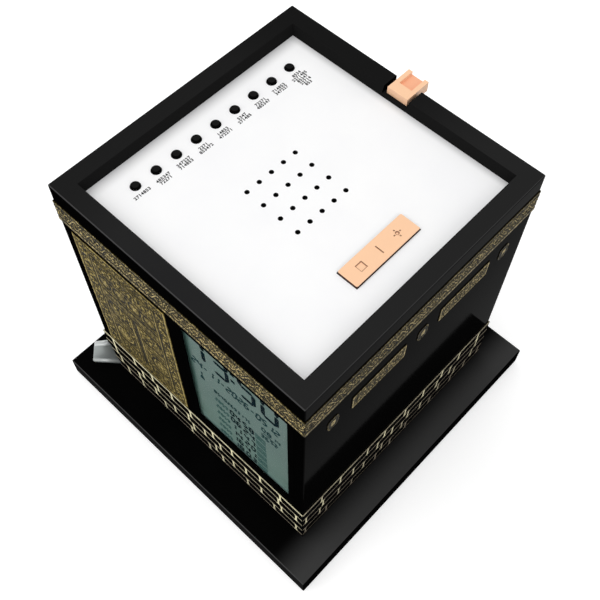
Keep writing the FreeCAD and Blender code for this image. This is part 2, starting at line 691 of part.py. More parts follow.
def make_setting_keys():
    """Four round keys on the back with their board, switches and screws."""
    profile = key_profile(s.setting_radius, s.wall)
    for number, x in enumerate(setting_places(), start=1):
        keep(turned(f"setting_body_{number}", profile, x, half_body, setting_level, TO_BACK),
             f"setting_key_{number}")
    front = setting_back - s.key_board_thickness
    slab = block("setting_slab", (-s.setting_board_width / 2, s.setting_board_width / 2),
                 (front, setting_back), (setting_level - s.setting_board_height / 2,
                                         setting_level + s.setting_board_height / 2))
    places = [(x, front, setting_level) for x in setting_posts]
    drilled_board("setting_board", slab, places, TO_BACK, s.key_board_thickness)
    make_screws("setting_board_screws", places, TO_BACK)
    switches = []
    bore = s.stem_entry + s.setting_travel + s.key_gap
    half = s.switch_width / 2
    for index, x in enumerate(setting_places()):
        case = block(f"setting_case_{index}", (x - half, x + half),
                     (setting_back, setting_back + s.switch_height),
                     (setting_level - half, setting_level + half))
        hole = rod(f"setting_bore_{index}", s.switch_bore, bore, x,
                   setting_back + s.switch_height - bore, setting_level, TO_BACK)
        switches.append(cut(f"setting_switch_{index}", case, hole))
    keep(bundle("setting_switches", switches), "setting_switches")


def make_speaker():
    """Round loudspeaker that fires up through the roof panel's grille."""
    rim_inner = s.speaker_radius - s.rim_width
    rim_top = panel_under - s.gasket_thickness
    foot = -s.basket_depth
    skin = s.basket_skin
    ring = [(rim_inner, 0), (s.speaker_radius, 0), (s.speaker_radius, s.gasket_thickness),
            (rim_inner, s.gasket_thickness)]
    keep(turned("gasket_body", ring, s.grille_x, s.grille_y, rim_top), "speaker_gasket")
    basket = [(rim_inner, 0), (s.speaker_radius, 0), (s.speaker_radius, -s.rim_thickness),
              (rim_inner + skin, -s.rim_thickness), (s.basket_foot_radius + skin, foot),
              (s.coil_hole_radius, foot), (s.coil_hole_radius, foot + skin),
              (s.basket_foot_radius, foot + skin), (rim_inner, -s.rim_thickness)]
    keep(turned("basket_body", basket, s.grille_x, s.grille_y, rim_top), "speaker_frame")
    neck = s.coil_radius + s.coil_skin
    cone = [(0, -s.cone_depth / 2), (s.coil_radius, -s.cone_depth), (rim_inner - s.cone_skin * 2, 0),
            (rim_inner, 0), (rim_inner, -s.cone_skin), (rim_inner - s.cone_skin * 2, -s.cone_skin),
            (neck, -s.cone_depth - s.cone_skin), (s.coil_radius, -s.cone_depth - s.cone_skin),
            (0, -s.cone_depth / 2 - s.cone_skin)]
    keep(turned("cone_body", cone, s.grille_x, s.grille_y, rim_top - s.cone_skin / 2), "speaker_cone")
    coil_top = -s.cone_depth - s.cone_skin * 1.5
    tube = [(s.coil_radius - s.coil_skin, coil_top), (s.coil_radius, coil_top),
            (s.coil_radius, coil_top - s.coil_length), (s.coil_radius - s.coil_skin, coil_top - s.coil_length)]
    keep(turned("coil_body", tube, s.grille_x, s.grille_y, rim_top), "speaker_coil")
    bottom = foot - s.magnet_height
    slot = foot - s.magnet_height * 0.75
    magnet = [(0, foot), (s.magnet_gap_inner, foot), (s.magnet_gap_inner, slot), (s.magnet_gap_outer, slot),
              (s.magnet_gap_outer, foot), (s.magnet_radius, foot), (s.magnet_radius, bottom), (0, bottom)]
    keep(turned("magnet_body", magnet, s.grille_x, s.grille_y, rim_top), "speaker_magnet")
    under = rim_top - s.rim_thickness
    make_screws("speaker_screws", [(x, y, under) for x, y in speaker_post_places()], UP, 0,
                s.speaker_head_radius)


def make_display():
    """Bezel, clear pane, liquid crystal cell, light guide and contact strips, stacked inwards."""
    window_x = (display_x - s.display_width / 2, display_x + s.display_width / 2)
    window_z = (display_low, display_high)
    pane_front = s.pane_inset - half_body
    inner = s.bezel_flange - half_inside
    plug = block("bezel_plug", (bezel_left, bezel_right), (-half_body, -half_inside),
                 (bezel_bottom, bezel_top))
    reach = s.flange_reach
    flange = block("bezel_flange", (bezel_left - reach, bezel_right + reach), (-half_inside, inner),
                   (bezel_bottom - reach, bezel_top + reach))
    view = block("bezel_view", window_x, (-half_body, inner), window_z)
    lap = s.pane_reach + s.bezel_gap
    rebate = block("bezel_rebate", (window_x[0] - lap, window_x[1] + lap), (pane_front, inner),
                   (window_z[0] - lap, window_z[1] + lap - s.bezel_lintel / 4))
    keep(cut("lcd_bezel", join("bezel_block", plug, flange), view, rebate), "lcd_bezel")
    pane_x = (window_x[0] - s.pane_reach, window_x[1] + s.pane_reach)
    pane_z = (window_z[0] - s.pane_reach, window_z[1] + s.pane_reach - s.bezel_lintel / 4)
    depth = pane_front
    for label, thickness in (("lcd_window", s.pane_thickness), ("lcd_glass", s.glass_thickness)):
        keep(block(label, pane_x, (depth, depth + thickness), pane_z), label)
        depth = depth + thickness + s.cell_gap
    margin = s.strip_height + s.cell_gap
    light_z = (pane_z[0] + margin, pane_z[1] - margin)
    keep(block("lcd_backlight", pane_x, (depth, depth + s.backlight_thickness), light_z), "lcd_backlight")
    strips = []
    for name, low in (("lower", pane_z[0]), ("upper", pane_z[1] - s.strip_height)):
        strips.append(block(f"strip_{name}", pane_x, (depth - s.cell_gap, board_front),
                            (low, low + s.strip_height)))
    keep(bundle("lcd_connector_strips", strips), "lcd_connector_strips")


def make_main_board():
    back = board_front + s.main_board_thickness
    slab = block("main_slab", (board_left, board_right), (board_front, back), (board_bottom, board_top))
    places = [(x, back, z) for x, z in board_corners()]
    holes = [(x, board_front, z) for x, z in board_corners()]
    drilled_board("main_board", slab, holes, TO_BACK, s.main_board_thickness)
    make_screws("main_board_screws", places, TO_FRONT, s.main_board_thickness)
    row_low = board_middle - s.part_spacing
    row_high = board_middle + s.part_spacing
    chip(("processor_chip", s.processor_width, s.processor_width, s.processor_thickness),
         board_x + s.part_spacing, board_middle, back)
    chip(("sound_chip", s.sound_width, s.sound_height, s.sound_thickness),
         board_x - s.part_spacing, row_low, back)
    keep(rod("quartz_can", s.crystal_radius, s.crystal_length, board_x, back, row_high, TO_BACK),
         "quartz_crystal")
    cans = []
    for index in range(2):
        x = board_x - s.part_spacing - s.capacitor_pitch * index
        cans.append(rod(f"capacitor_{index}", s.capacitor_radius, s.capacitor_height, x, back, row_high,
                        TO_BACK))
    keep(bundle("board_capacitors", cans), "board_capacitors")


def chip(form, x, z, back):
    """A flat package on the rear face of the main board."""
    label, width, height, thickness = form
    keep(block(label, (x - width / 2, x + width / 2), (back, back + thickness),
               (z - height / 2, z + height / 2)), label)


def ring(name, inner, outer, z):
    """A square band round the cube."""
    return cut(name, centred(f"{name}_outer", outer * 2, outer * 2, z),
               centred(f"{name}_inner", inner * 2, inner * 2, z))


def make_belt():
    low = belt_low
    high = low + s.belt_height
    face = half_body + s.ornament_proud
    ridge = face + s.ridge_proud
    parts = [ring("belt_ground", half_body, face, (low, high)),
             ring("belt_lower_edge", half_body, ridge, (low, low + s.belt_border)),
             ring("belt_upper_edge", half_body, ridge, (high - s.belt_border, high))]
    keep(join("belt_band", *parts), "belt_band")


def make_curtain():
    """Relief plate of a door curtain: frame, top fields, wide lobed field, slit and two roundels."""
    left = s.curtain_inset - half_body
    right = left + s.curtain_width
    middle = left + s.curtain_width / 2
    high = belt_low - s.curtain_drop
    low = plinth_top + s.skirt_height + s.curtain_rise
    height = high - low
    face = -half_body - s.ornament_proud
    front = (face - s.ridge_proud, face)
    edge = s.belt_border
    border = s.curtain_border
    ground = block("curtain_ground", (left, right), (face, -half_body), (low, high))
    outer = block("curtain_outer", (left, right), front, (low, high))
    outer_hole = block("curtain_outer_hole", (left + edge, right - edge), front, (low + edge, high - edge))
    inner = block("curtain_inner", (left + border, right - border), front, (low + border, high - border))
    inner_hole = block("curtain_inner_hole", (left + border + edge, right - border - edge), front,
                       (low + border + edge, high - border - edge))
    wide_z = low + height * 0.48
    wide = centred("curtain_wide", s.curtain_width * 0.62, s.ridge_proud, (wide_z - border, wide_z + border),
                   middle, face - s.ridge_proud / 2)
    roundels = [rod(f"curtain_roundel_{index}", s.curtain_width * 0.11, s.ridge_proud,
                    middle + side * s.curtain_width * 0.215, face, low + height * 0.235,
                    TO_FRONT) for index, side in enumerate((-1, 1))]
    parts = [ground, cut("curtain_frame", outer, outer_hole), cut("curtain_line", inner, inner_hole), wide]
    keep(join("door_curtain", *parts, *roundels), "door_curtain")


def make_skirt():
    """Band of four brick courses on all four faces, open where the corner casing stands."""
    face = float(half_body + s.ornament_proud)
    base = float(plinth_top)
    height = float(s.skirt_height)
    proud = float(s.brick_proud)
    joint = float(s.mortar)
    course = float(s.course_height)
    size = float(s.brick_length)
    outer = Part.makeBox(2 * face, 2 * face, height, FreeCAD.Vector(-face, -face, base))
    bricks = []
    count = round(2 * face / size)
    step = 2 * face / count
    for row in range(COURSE_COUNT):
        low = base + joint / 2 + row * course
        start = -face + (step / 2 if row % 2 else 0)
        cuts = [-face] + [start + step * index for index in range(count + 1)] + [face]
        cuts = sorted(set(round(place_x, 6) for place_x in cuts if abs(place_x) <= face + 1e-6))
        for left, right in zip(cuts, cuts[1:]):
            width = right - left - joint
            if width > joint:
                bricks.append(Part.makeBox(width, proud * 2, course - joint,
                                           FreeCAD.Vector(left + joint / 2, -face - proud, low)))
    one_face = Part.makeCompound(bricks)
    faces = []
    for quarter in range(4):
        turned_face = one_face.copy()
        turned_face.rotate(FreeCAD.Vector(0, 0, 0), FreeCAD.Vector(0, 0, 1), 90 * quarter)
        faces.extend(turned_face.Solids)
    half = float(half_body)
    inner = Part.makeBox(2 * half, 2 * half, height, FreeCAD.Vector(-half, -half, base))
    opening = casing_clearance()
    item = doc.addObject("Part::Feature", "brick_skirt")
    item.Shape = outer.fuse(faces).cut([inner, opening])
    keep(item, "brick_skirt")


def diagonal(reach, across, level):
    """A point given by its distance out from the front left corner, across the diagonal and up."""
    root = math.sqrt(0.5)
    corner = -float(half_body)
    return FreeCAD.Vector(corner - reach * root + across * root, corner - reach * root - across * root,
                          float(plinth_top) + level)


def casing_section(reach, scale, grow=0.0, lean=0.0):
    bottom = float(s.casing_bottom)
    height = float(s.casing_height)
    middle = bottom + height / 2
    foot = float(s.casing_foot_half)
    step = bottom + float(s.casing_foot_height)
    half = [(foot, bottom, -grow), (foot, bottom + float(s.casing_foot_height) / 2, grow),
            (float(s.casing_waist_half), step, grow), (float(s.casing_top_half), bottom + height, grow)]
    points = [(across * scale + grow, middle + (level - middle) * scale + lift)
              for across, level, lift in half]
    points += [(-across, level) for across, level in reversed(points)]
    corners = [diagonal(reach + lean * (middle - level) / height, across, level)
               for across, level in points]
    return Part.makePolygon(corners + corners[:1])


def casing_clearance():
    """The casing's outline, grown by the key gap, cut out of the skirt."""
    grow = float(s.key_gap)
    inside = -float(s.casing_foot_half) - 2.0
    return Part.makeLoft([casing_section(inside, 1.0, grow), casing_section(3.0, 1.0, grow)], True, True)


def make_casing():
    """Silver casing that wraps the front left corner, with a dark oval stone in its outer face."""
    reach = float(s.casing_reach)
    taper = float(s.casing_taper)
    inside = -float(s.casing_foot_half) - 2.0
    core = Part.makeLoft([casing_section(inside, 1.0), casing_section(0.0, 1.0)], True, True)
    lean = float(s.casing_lean)
    nose = Part.makeLoft([casing_section(0.0, 1.0), casing_section(reach, taper, 0.0, lean)], True, True)
    half = float(half_body)
    cube = Part.makeBox(2 * half, 2 * half, float(s.body_height),
                        FreeCAD.Vector(-half, -half, float(plinth_top)))
    middle = float(s.casing_bottom) + float(s.casing_height) / 2
    depth = float(s.stone_depth)
    tall, wide = float(s.stone_half_height), float(s.stone_half_width)
    gap = float(s.stone_gap)
    slope = math.atan2(lean, float(s.casing_height))
    face = diagonal(reach, 0.0, middle)
    hole = oval_bar(tall + gap, wide + gap, depth, depth + 1.0, face, slope)
    stone = oval_bar(tall, wide, depth, depth - gap * 2, face, slope)
    casing = doc.addObject("Part::Feature", "casing_solid")
    casing.Shape = core.fuse(nose).cut([cube, hole]).removeSplitter()
    keep(casing, "corner_casing")
    insert = doc.addObject("Part::Feature", "stone_solid")
    insert.Shape = stone
    keep(insert, "black_stone")


def oval_bar(tall, wide, inset, size, face_middle, slope):
    """An upright oval drawn out along the corner's diagonal, tipped back with the casing's face."""
    flat = math.sqrt(0.5) * math.cos(slope)
    tip = math.sqrt(0.5) * math.sin(slope)
    oval = Part.Ellipse(FreeCAD.Vector(0, 0, 0), tall, wide).toShape()
    face = Part.Face(Part.Wire([oval]))
    bar = face.extrude(FreeCAD.Vector(0, 0, size))
    outward = FreeCAD.Vector(-flat, -flat, math.sin(slope))
    upward = FreeCAD.Vector(tip, tip, math.cos(slope))
    turn = FreeCAD.Rotation(upward, outward.cross(upward), outward, "ZXY")
    bar.Placement = FreeCAD.Placement(face_middle - outward * inset, turn)
    return bar


def lozenge(name, across, level, normal):
    """An upright pointed plate: a square bar of four sides stretched to its height."""
    shape = new_body(name)
    half_width, half_height = s.lozenge_width / 2, s.lozenge_height / 2
    shape.Tip = pad(shape, f"{name}_pad", [(-half_width, 0), (0, -half_height), (half_width, 0),
                                           (0, half_height)], s.ornament_proud)
    return stand(shape, across, level, normal)


def stand(item, across, level, normal):
    """Stands a flat plate on one of the cube's side faces."""
    turns = {"right": ACROSS, "left": FreeCAD.Rotation(-90, 0, 90),
             "back": FreeCAD.Rotation(180, 0, 90)}
    spots = {"right": (half_body, across), "left": (-half_body, -across), "back": (-across, half_body)}
    x, y = spots[normal]
    return place(item, x, y, level, turns[normal])


def make_cartouches():
    level = belt_low - s.cartouche_drop
    lozenge_place = half_body - s.lozenge_inset
    for normal in ("right", "left", "back"):
        plates = []
        for index, side in enumerate((-1, 0, 1)):
            plates.append(lozenge(f"lozenge_{normal}_{index}", lozenge_place * side, level, normal))
        for index, side in enumerate((-1, 1)):
            plate = new_body(f"cartouche_{normal}_{index}")
            plate.Tip = pad(plate, f"cartouche_pad_{normal}_{index}", notched_plate(), s.ornament_proud)
            plates.append(stand(plate, lozenge_place / 2 * side, level, normal))
        keep(bundle(f"{normal}_plates", plates), f"{normal}_cartouches")


def notched_plate():
    """Long plate whose four corners are stepped in."""
    half_length, half_height = s.cartouche_length / 2, s.cartouche_height / 2
    step = s.cartouche_height / 5
    quarter = [(half_length, half_height - step), (half_length - step, half_height - step),
               (half_length - step, half_height)]
    points = quarter + [(-u, v) for u, v in reversed(quarter)]
    return points + [(-u, -v) for u, v in quarter] + [(u, -v) for u, v in reversed(quarter)]


def make_spout():
    """Open rain spout that lies in the parapet notch and hooks down over the outer wall."""
    inner_end = half_body - s.spout_seat
    outer_end = inner_end + s.spout_length
    low = body_top - s.spout_height
    bar = block("spout_bar", (spout_left, spout_right), (inner_end, outer_end), (low, body_top))
    lip = block("spout_lip", (spout_left, spout_right), (half_body + s.panel_gap, outer_end),
                (low - s.spout_lip_drop, low + s.spout_tray_depth / 2))
    tray = block("spout_tray", (spout_left + s.spout_rim, spout_right - s.spout_rim),
                 (inner_end + s.spout_tray_start, outer_end), (body_top - s.spout_tray_depth, body_top))
    keep(cut("spout", join("spout_solid", bar, lip), tray), "spout")


def main():
    make_plinth()
    make_bottom_cover()
    make_battery_door()
    make_feet()
    make_batteries()
    make_base_screws()
    make_body_shell()
    make_top_panel()
    make_buttons()
    make_wide_key()
    make_key_electrics()
    make_setting_keys()
    make_speaker()
    make_display()
    make_main_board()
    make_belt()
    make_curtain()
    make_skirt()
    make_casing()
    make_cartouches()
    make_spout()
    doc.recompute()
    check_and_write()


def check_and_write():
    """Refuses a failed object or an invalid solid, then writes one STEP file for each node."""
    for item in doc.Objects:
        faults = {"Invalid", "Error"} & set(item.State)
        if faults:
            raise RuntimeError(f"{item.Name} is {faults}")
    for item in nodes:
        if item.Shape.isNull() or not item.Shape.isValid() or not item.Shape.Solids:
            raise RuntimeError(f"{item.Label} has no valid solid")
    os.makedirs("parts", exist_ok=True)
    for item in nodes:
        item.Shape.exportStep(f"parts/{item.Label}.step")
    print(f"{len(nodes)} nodes written")


main()
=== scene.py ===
import json
import math

import bmesh
import bpy
import numpy as np
from mathutils import Matrix, Vector


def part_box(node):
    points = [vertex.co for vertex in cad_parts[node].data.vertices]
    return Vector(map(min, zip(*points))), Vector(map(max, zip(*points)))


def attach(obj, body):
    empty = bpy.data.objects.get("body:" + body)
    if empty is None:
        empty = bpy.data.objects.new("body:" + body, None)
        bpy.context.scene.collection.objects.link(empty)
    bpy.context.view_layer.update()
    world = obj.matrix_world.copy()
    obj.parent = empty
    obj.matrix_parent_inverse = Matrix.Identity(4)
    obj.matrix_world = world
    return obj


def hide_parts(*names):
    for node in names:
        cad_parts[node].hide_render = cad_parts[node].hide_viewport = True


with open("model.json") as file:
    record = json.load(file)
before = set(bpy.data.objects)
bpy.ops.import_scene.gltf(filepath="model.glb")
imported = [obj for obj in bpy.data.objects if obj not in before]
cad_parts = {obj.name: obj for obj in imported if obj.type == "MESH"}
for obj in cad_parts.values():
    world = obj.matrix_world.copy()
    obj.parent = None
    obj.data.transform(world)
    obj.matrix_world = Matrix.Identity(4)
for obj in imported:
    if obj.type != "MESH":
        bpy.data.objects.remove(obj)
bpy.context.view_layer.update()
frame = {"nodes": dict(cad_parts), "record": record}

# Azan clock: black cube on a square plinth, dressed in gold relief. Sizes below are in millimetres.
MM = 0.001
ROOT = "clock"
rng = np.random.default_rng(7)


def span(node, axis):
    """Where a CAD node begins and ends along an axis."""
    return [round(corner["XYZ".index(axis)] / MM, 2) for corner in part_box(node)]


def middle_of(node, axis):
    return sum(span(node, axis)) / 2


HALF = span("body_shell", "X")[1]   # half the cube's width
PLINTH_TOP = span("plinth", "Z")[1]
PANEL_TOP = span("top_panel", "Z")[1]
DISPLAY_FACE = -span("lcd_glass", "Y")[0]
# places on the faces of the cube: u along a face from its middle, d out of it, v above the table
FACES = {
    "front": lambda u, d, v: (u, -(HALF + d), v),
    "right": lambda u, d, v: (HALF + d, u, v),
    "back": lambda u, d, v: (-u, HALF + d, v),
    "left": lambda u, d, v: (-(HALF + d), -u, v),
}


# ---------------------------------------------------------------- materials

NOISE_MIDDLE = (0.3, 0.7)   # the stretch of a noise that most of its values fill
GRAIN_DEPTH = 0.00004       # in metres


def linear(colour):
    """Linear colour of an sRGB grey, or of red, green and blue, written 0 to 255."""
    values = [channel / 255 for channel in (colour if isinstance(colour, tuple) else (colour,) * 3)]
    return (*(v / 12.92 if v <= 0.04045 else ((v + 0.055) / 1.055) ** 2.4 for v in values), 1.0)


class Nodes:
    """Short names for building on the node tree of a material or a world."""

    def __init__(self, material):
        self.material = material
        self.tree = material.node_tree
        self.shader = next((node for node in self.tree.nodes if node.type == "BSDF_PRINCIPLED"), None)

    @classmethod
    def blank(cls, name):
        """A new material with nothing but a shader and its output."""
        material = bpy.data.materials.new(name)
        material.use_nodes = True
        material.node_tree.nodes.clear()
        n = cls(material)
        n.output = n.add("ShaderNodeOutputMaterial")
        n.shader = n.add("ShaderNodeBsdfPrincipled")
        n.link(n.shader, "BSDF", n.output, "Surface")
        n.place = n.add("ShaderNodeTexCoord")
        return n

    def add(self, kind, **settings):
        node = self.tree.nodes.new(kind)
        for key, value in settings.items():
            setattr(node, key, value)
        return node

    def link(self, source, output, target, entry):
        self.tree.links.new(source.outputs[output], target.inputs[entry])

    def set(self, node, **values):
        """Sets a node's inputs, with underscores for the spaces in their names."""
        for key, value in values.items():
            node.inputs[key.replace("_", " ")].default_value = value
        return node

    def noise(self, scale, detail=3.0, stretch=(1, 1, 1)):
        mapping = self.set(self.add("ShaderNodeMapping"), Scale=stretch)
        self.link(self.place, "Object", mapping, "Vector")
        noise = self.set(self.add("ShaderNodeTexNoise"), Scale=scale, Detail=detail, Roughness=0.55)
        self.link(mapping, "Vector", noise, "Vector")
        return noise

    def ranged(self, source, output, low, high, to_low=0.0, to_high=1.0):
        node = self.set(self.add("ShaderNodeMapRange"), From_Min=low, From_Max=high, To_Min=to_low,
                        To_Max=to_high)
        self.link(source, output, node, "Value")
        return node

    def combine(self, operation, *sources):
        """Joins one or two values, each given as a node and its output."""
        node = self.add("ShaderNodeMath", operation=operation)
        for entry, (source, output) in enumerate(sources):
            self.link(source, output, node, entry)
        return node

    def parts(self, kind, output):
        """The three parts of a vector that a new node gives."""
        node = self.add("ShaderNodeSeparateXYZ")
        self.link(self.add(kind), output, node, "Vector")
        return node

    def drift(self, scale, detail, stretch, first, second):
        """Base colour that drifts between two colours."""
        spread = self.ranged(self.noise(scale, detail, stretch), "Fac", *NOISE_MIDDLE)
        mix = self.add("ShaderNodeMix", data_type="RGBA")
        mix.inputs[6].default_value = first
        mix.inputs[7].default_value = second
        self.link(spread, "Result", mix, "Factor")
        self.link(mix, 2, self.shader, "Base Color")

    def grained(self, noise, rough, strength):
        """A fine noise that drives roughness and bump."""
        self.link(self.ranged(noise, "Fac", *NOISE_MIDDLE, *rough), "Result", self.shader, "Roughness")
        bump = self.set(self.add("ShaderNodeBump"), Strength=strength, Distance=GRAIN_DEPTH)
        self.link(noise, "Fac", bump, "Height")
        self.link(bump, "Normal", self.shader, "Normal")

    def over(self, source, output, clear, full, colour, blend="LINEAR"):
        """Lays a colour over the base colour where a value runs from clear to full."""
        below = self.shader.inputs["Base Color"].links[0].from_socket
        step = self.ranged(source, output, clear, full)
        step.interpolation_type = blend
        mix = self.add("ShaderNodeMix", data_type="RGBA")
        self.link(step, "Result", mix, "Factor")
        self.tree.links.new(below, mix.inputs[6])
        mix.inputs[7].default_value = linear(colour)
        self.link(mix, 2, self.shader, "Base Color")


def finish(name, base, tint, rough, grain, bump, broad=45.0, stretch=(1, 1, 1), metal=0.0, specular=0.5,
           **more):
    """Colour drifts between base and tint; a fine grain drives roughness and bump."""
    n = Nodes.blank(name)
    n.drift(broad, 4.0, stretch, linear(base), linear(tint))
    n.grained(n.noise(grain, 3.0, stretch), rough, bump)
    n.set(n.shader, Metallic=metal, Specular_IOR_Level=specular, **more)
    return n.material


def faced(material, *stops, axis="Z"):
    """Colour by where a face looks: painted light and shade for a lid, a polished edge and the walls of one
    moulding.

    Each stop gives the lean along the axis (1 looks straight along it) where its colour is full, the
    lean where it has faded into what was there before, and the colour.
    """
    n = Nodes(material)
    lean = n.parts("ShaderNodeNewGeometry", "True Normal")
    for full, clear, colour in stops:
        n.over(lean, axis, clear, full, colour)
    return material


def graded(material, axis, clear, full, colour):
    """Colour that comes in softly along one axis of the piece, in millimetres."""
    n = Nodes(material)
    n.over(n.parts("ShaderNodeTexCoord", "Object"), axis, clear * MM, full * MM, colour, "SMOOTHSTEP")
    return material


def shine_by_side(material, plain, side, crown):
    """A shine for the walls that look left and right, another high up on them, and one for all the rest."""
    n = Nodes(material)
    lean = n.combine("ABSOLUTE", (n.parts("ShaderNodeNewGeometry", "True Normal"), "X"))
    step = n.ranged(lean, "Value", 0.4, 0.6, plain)
    rise = n.ranged(n.parts("ShaderNodeTexCoord", "Object"), "Z", 124 * MM, 138 * MM, side, crown)
    n.link(rise, "Result", step, "To Max")
    n.link(step, "Result", n.shader, "Specular IOR Level")
    return material


def gold(name, recess, middle, crest, speckle, grain_size=950.0, stretch=(1, 1, 1)):
    """Antique gold, dark in the hollows and bright on the crests of the relief: partly its antique finish,
    partly painted shade in the hollows and a painted highlight on the crests.
    """
    n = Nodes.blank(name)
    height = n.add("ShaderNodeAttribute", attribute_name="relief")
    wear = n.ranged(n.noise(140.0), "Fac", *NOISE_MIDDLE, -0.08, 0.08)
    speck = n.ranged(n.noise(grain_size, 2.0, stretch), "Fac", *NOISE_MIDDLE, -speckle, speckle)
    worn = n.combine("ADD", (height, "Fac"), (wear, "Result"))
    total = n.combine("ADD", (worn, "Value"), (speck, "Result"))
    ramp = n.add("ShaderNodeValToRGB")
    bands = ramp.color_ramp.elements
    bands.new(0.55)
    for band, position, colour in zip(bands, (0.08, 0.55, 0.98), (recess, middle, crest)):
        band.position = position
        band.color = linear(colour)
    n.link(total, "Value", ramp, "Fac")
    n.link(ramp, "Color", n.shader, "Base Color")
    n.grained(n.noise(3000.0, 2.0), (0.34, 0.56), 0.35)
    n.set(n.shader, Specular_IOR_Level=0.02)
    return n.material


def rose(name):
    """Rose gold lacquer of the spout and the wide key."""
    return finish(name, (255, 209, 168), (252, 203, 163), (0.34, 0.46), 1800.0, 0.18, stretch=(1, 0.2, 1),
                  specular=0.4)


black_gloss = finish("gloss_black", 30, (33, 33, 34), (0.04, 0.09), 1400.0, 0.02, broad=30.0, specular=0.008)

# painted light on the black shell: its polished top is painted far lighter than its near black walls, painted
# shade darkens the top towards the back left, and its rounded edges carry a painted highlight, except those
# that look to the right
shell_black = finish("shell_black", 38, (35, 35, 36), (0.04, 0.09), 1400.0, 0.02, broad=30.0)
graded(shell_black, "X", -20, -55, 31)
graded(shell_black, "Y", 10, 54, 25)
graded(shell_black, "X", -5, 45, 37)
faced(shell_black, (0.93, 0.99, 68))
faced(shell_black, (0.6, 0.4, 38), axis="X")
faced(shell_black, (0.4, 0.5, 26), (0.1, 0.2, 4))
shine_by_side(shell_black, 0.0, 0.0005, 0.0013)

# painted light on the black plinth: its top is painted lighter towards the right, where light falls, its
# rounded edges carry a painted highlight, its sides are painted lighter than its top, and along its right
# edge a thin rim is painted near black
plinth_black = finish("plinth_black", 5, 8, (0.05, 0.12), 1400.0, 0.02, broad=30.0, specular=0.0)
graded(plinth_black, "X", 55.5, 72.5, 62)
faced(plinth_black, (0.93, 0.99, 70), (0.12, 0.3, 30))
graded(plinth_black, "X", 74.2, 74.4, 6)

black_matt = finish("matt_black", (22, 22, 23), (30, 30, 31), (0.45, 0.65), 2600.0, 0.3, specular=0.15)
button_black = finish("button_black", 20, 26, (0.4, 0.6), 2600.0, 0.2, specular=0.02)
# the walls of the buttons are painted near black, darker than their tops, as shade
faced(button_black, (0.9, 0.97, 2))
brick_black = finish("brick_black", 8, 12, (0.25, 0.4), 1400.0, 0.1, broad=60.0, specular=0.0)
bezel_black = finish("bezel_black", 3, 5, (0.3, 0.45), 1400.0, 0.1, broad=60.0, specular=0.0)
print_black = finish("label_print", 5, 9, (0.5, 0.65), 2500.0, 0.1, specular=0.02)

white_panel = finish("white_panel", 253, (249, 249, 250), (0.38, 0.5), 2200.0, 0.12, specular=0.3)
# painted shadow: the white panel darkens towards its left and back edges, under the parapet, and the walls of
# its holes are painted near black as shade
graded(white_panel, "X", -45.5, -53.5, (188, 188, 189))
graded(white_panel, "Y", 48, 53, (190, 190, 191))
faced(white_panel, (0.85, 0.95, (24, 24, 25)))

# the walls of the wide key are painted dark brown as shade
rose_key = faced(rose("rose_key"), (0.5, 0.8, (84, 52, 42)))
# painted shade: the spout's tray, below its lips, is painted a deeper pink, and its walls are painted back to
# a pale tone
rose_spout = graded(rose("rose_spout"), "Z", 145.2, 144.6, (250, 184, 145))
faced(rose_spout, (0.4, 0.7, (253, 204, 166)))
rose_dark = finish("rose_shade", (190, 140, 112), (182, 134, 106), (0.4, 0.5), 1800.0, 0.18, specular=0.1)

silver = finish("satin_silver", (216, 220, 219), (208, 212, 211), (0.3, 0.38), 1500.0, 0.04,
                stretch=(1, 1, 0.12), metal=0.35)
# the casing's walls are painted darker than its tops, as shade
faced(silver, (0.35, 0.7, (160, 166, 165)))

cell = finish("display_cell", (98, 128, 118), (94, 123, 113), (0.3, 0.42), 2400.0, 0.08, specular=0.1)
# painted shade: the display is painted darker towards its top, under the belt, and lighter towards its foot
graded(cell, "Z", 56, 86, (78, 109, 101))
graded(cell, "Z", 55, 44, (112, 141, 134))
ink, tint, haze = (
    finish(name, base, other, (0.35, 0.5), 2400.0, 0.05, broad=120.0, specular=shine)
    for name, base, other, shine in (("display_ink", (8, 22, 30), (14, 32, 38), 0.001),
                                     ("display_tint", (30, 56, 60), (40, 66, 68), 0.001),
                                     ("display_haze", (44, 84, 82), (54, 92, 88), 0.02)))

# lit and shaded copies of one gold: the copy for the sides of the cube is painted darker than the front's, as
# shade
gold_belt = gold("belt_gold", (6, 5, 0), (80, 71, 40), (222, 200, 138), 0.4, 1800.0, (1, 1, 0.5))
gold_shaded_side = gold("belt_side_gold_shaded", (6, 5, 2), (72, 65, 42), (192, 174, 128), 0.26, 1800.0, (1, 1, 0.5))
gold_plate = gold("curtain_gold", (4, 3, 0), (96, 83, 38), (180, 161, 98), 0.24, 1500.0, (1, 1, 0.3))
gold_joint = gold("joint_gold", (24, 20, 16), (140, 130, 114), (255, 248, 206), 0.06)

SLOTS = {
    "black_gloss": black_gloss, "black_matt": black_matt, "white_panel": white_panel,
    "rose_gold": rose("rose_gold"), "gold_relief": gold_plate, "silver_casing": silver,
    "display_cell": cell,
}


def slot_look(slot, *values, **more):
    """A look that is named after its slot."""
    SLOTS[slot] = finish(slot, *values, **more)


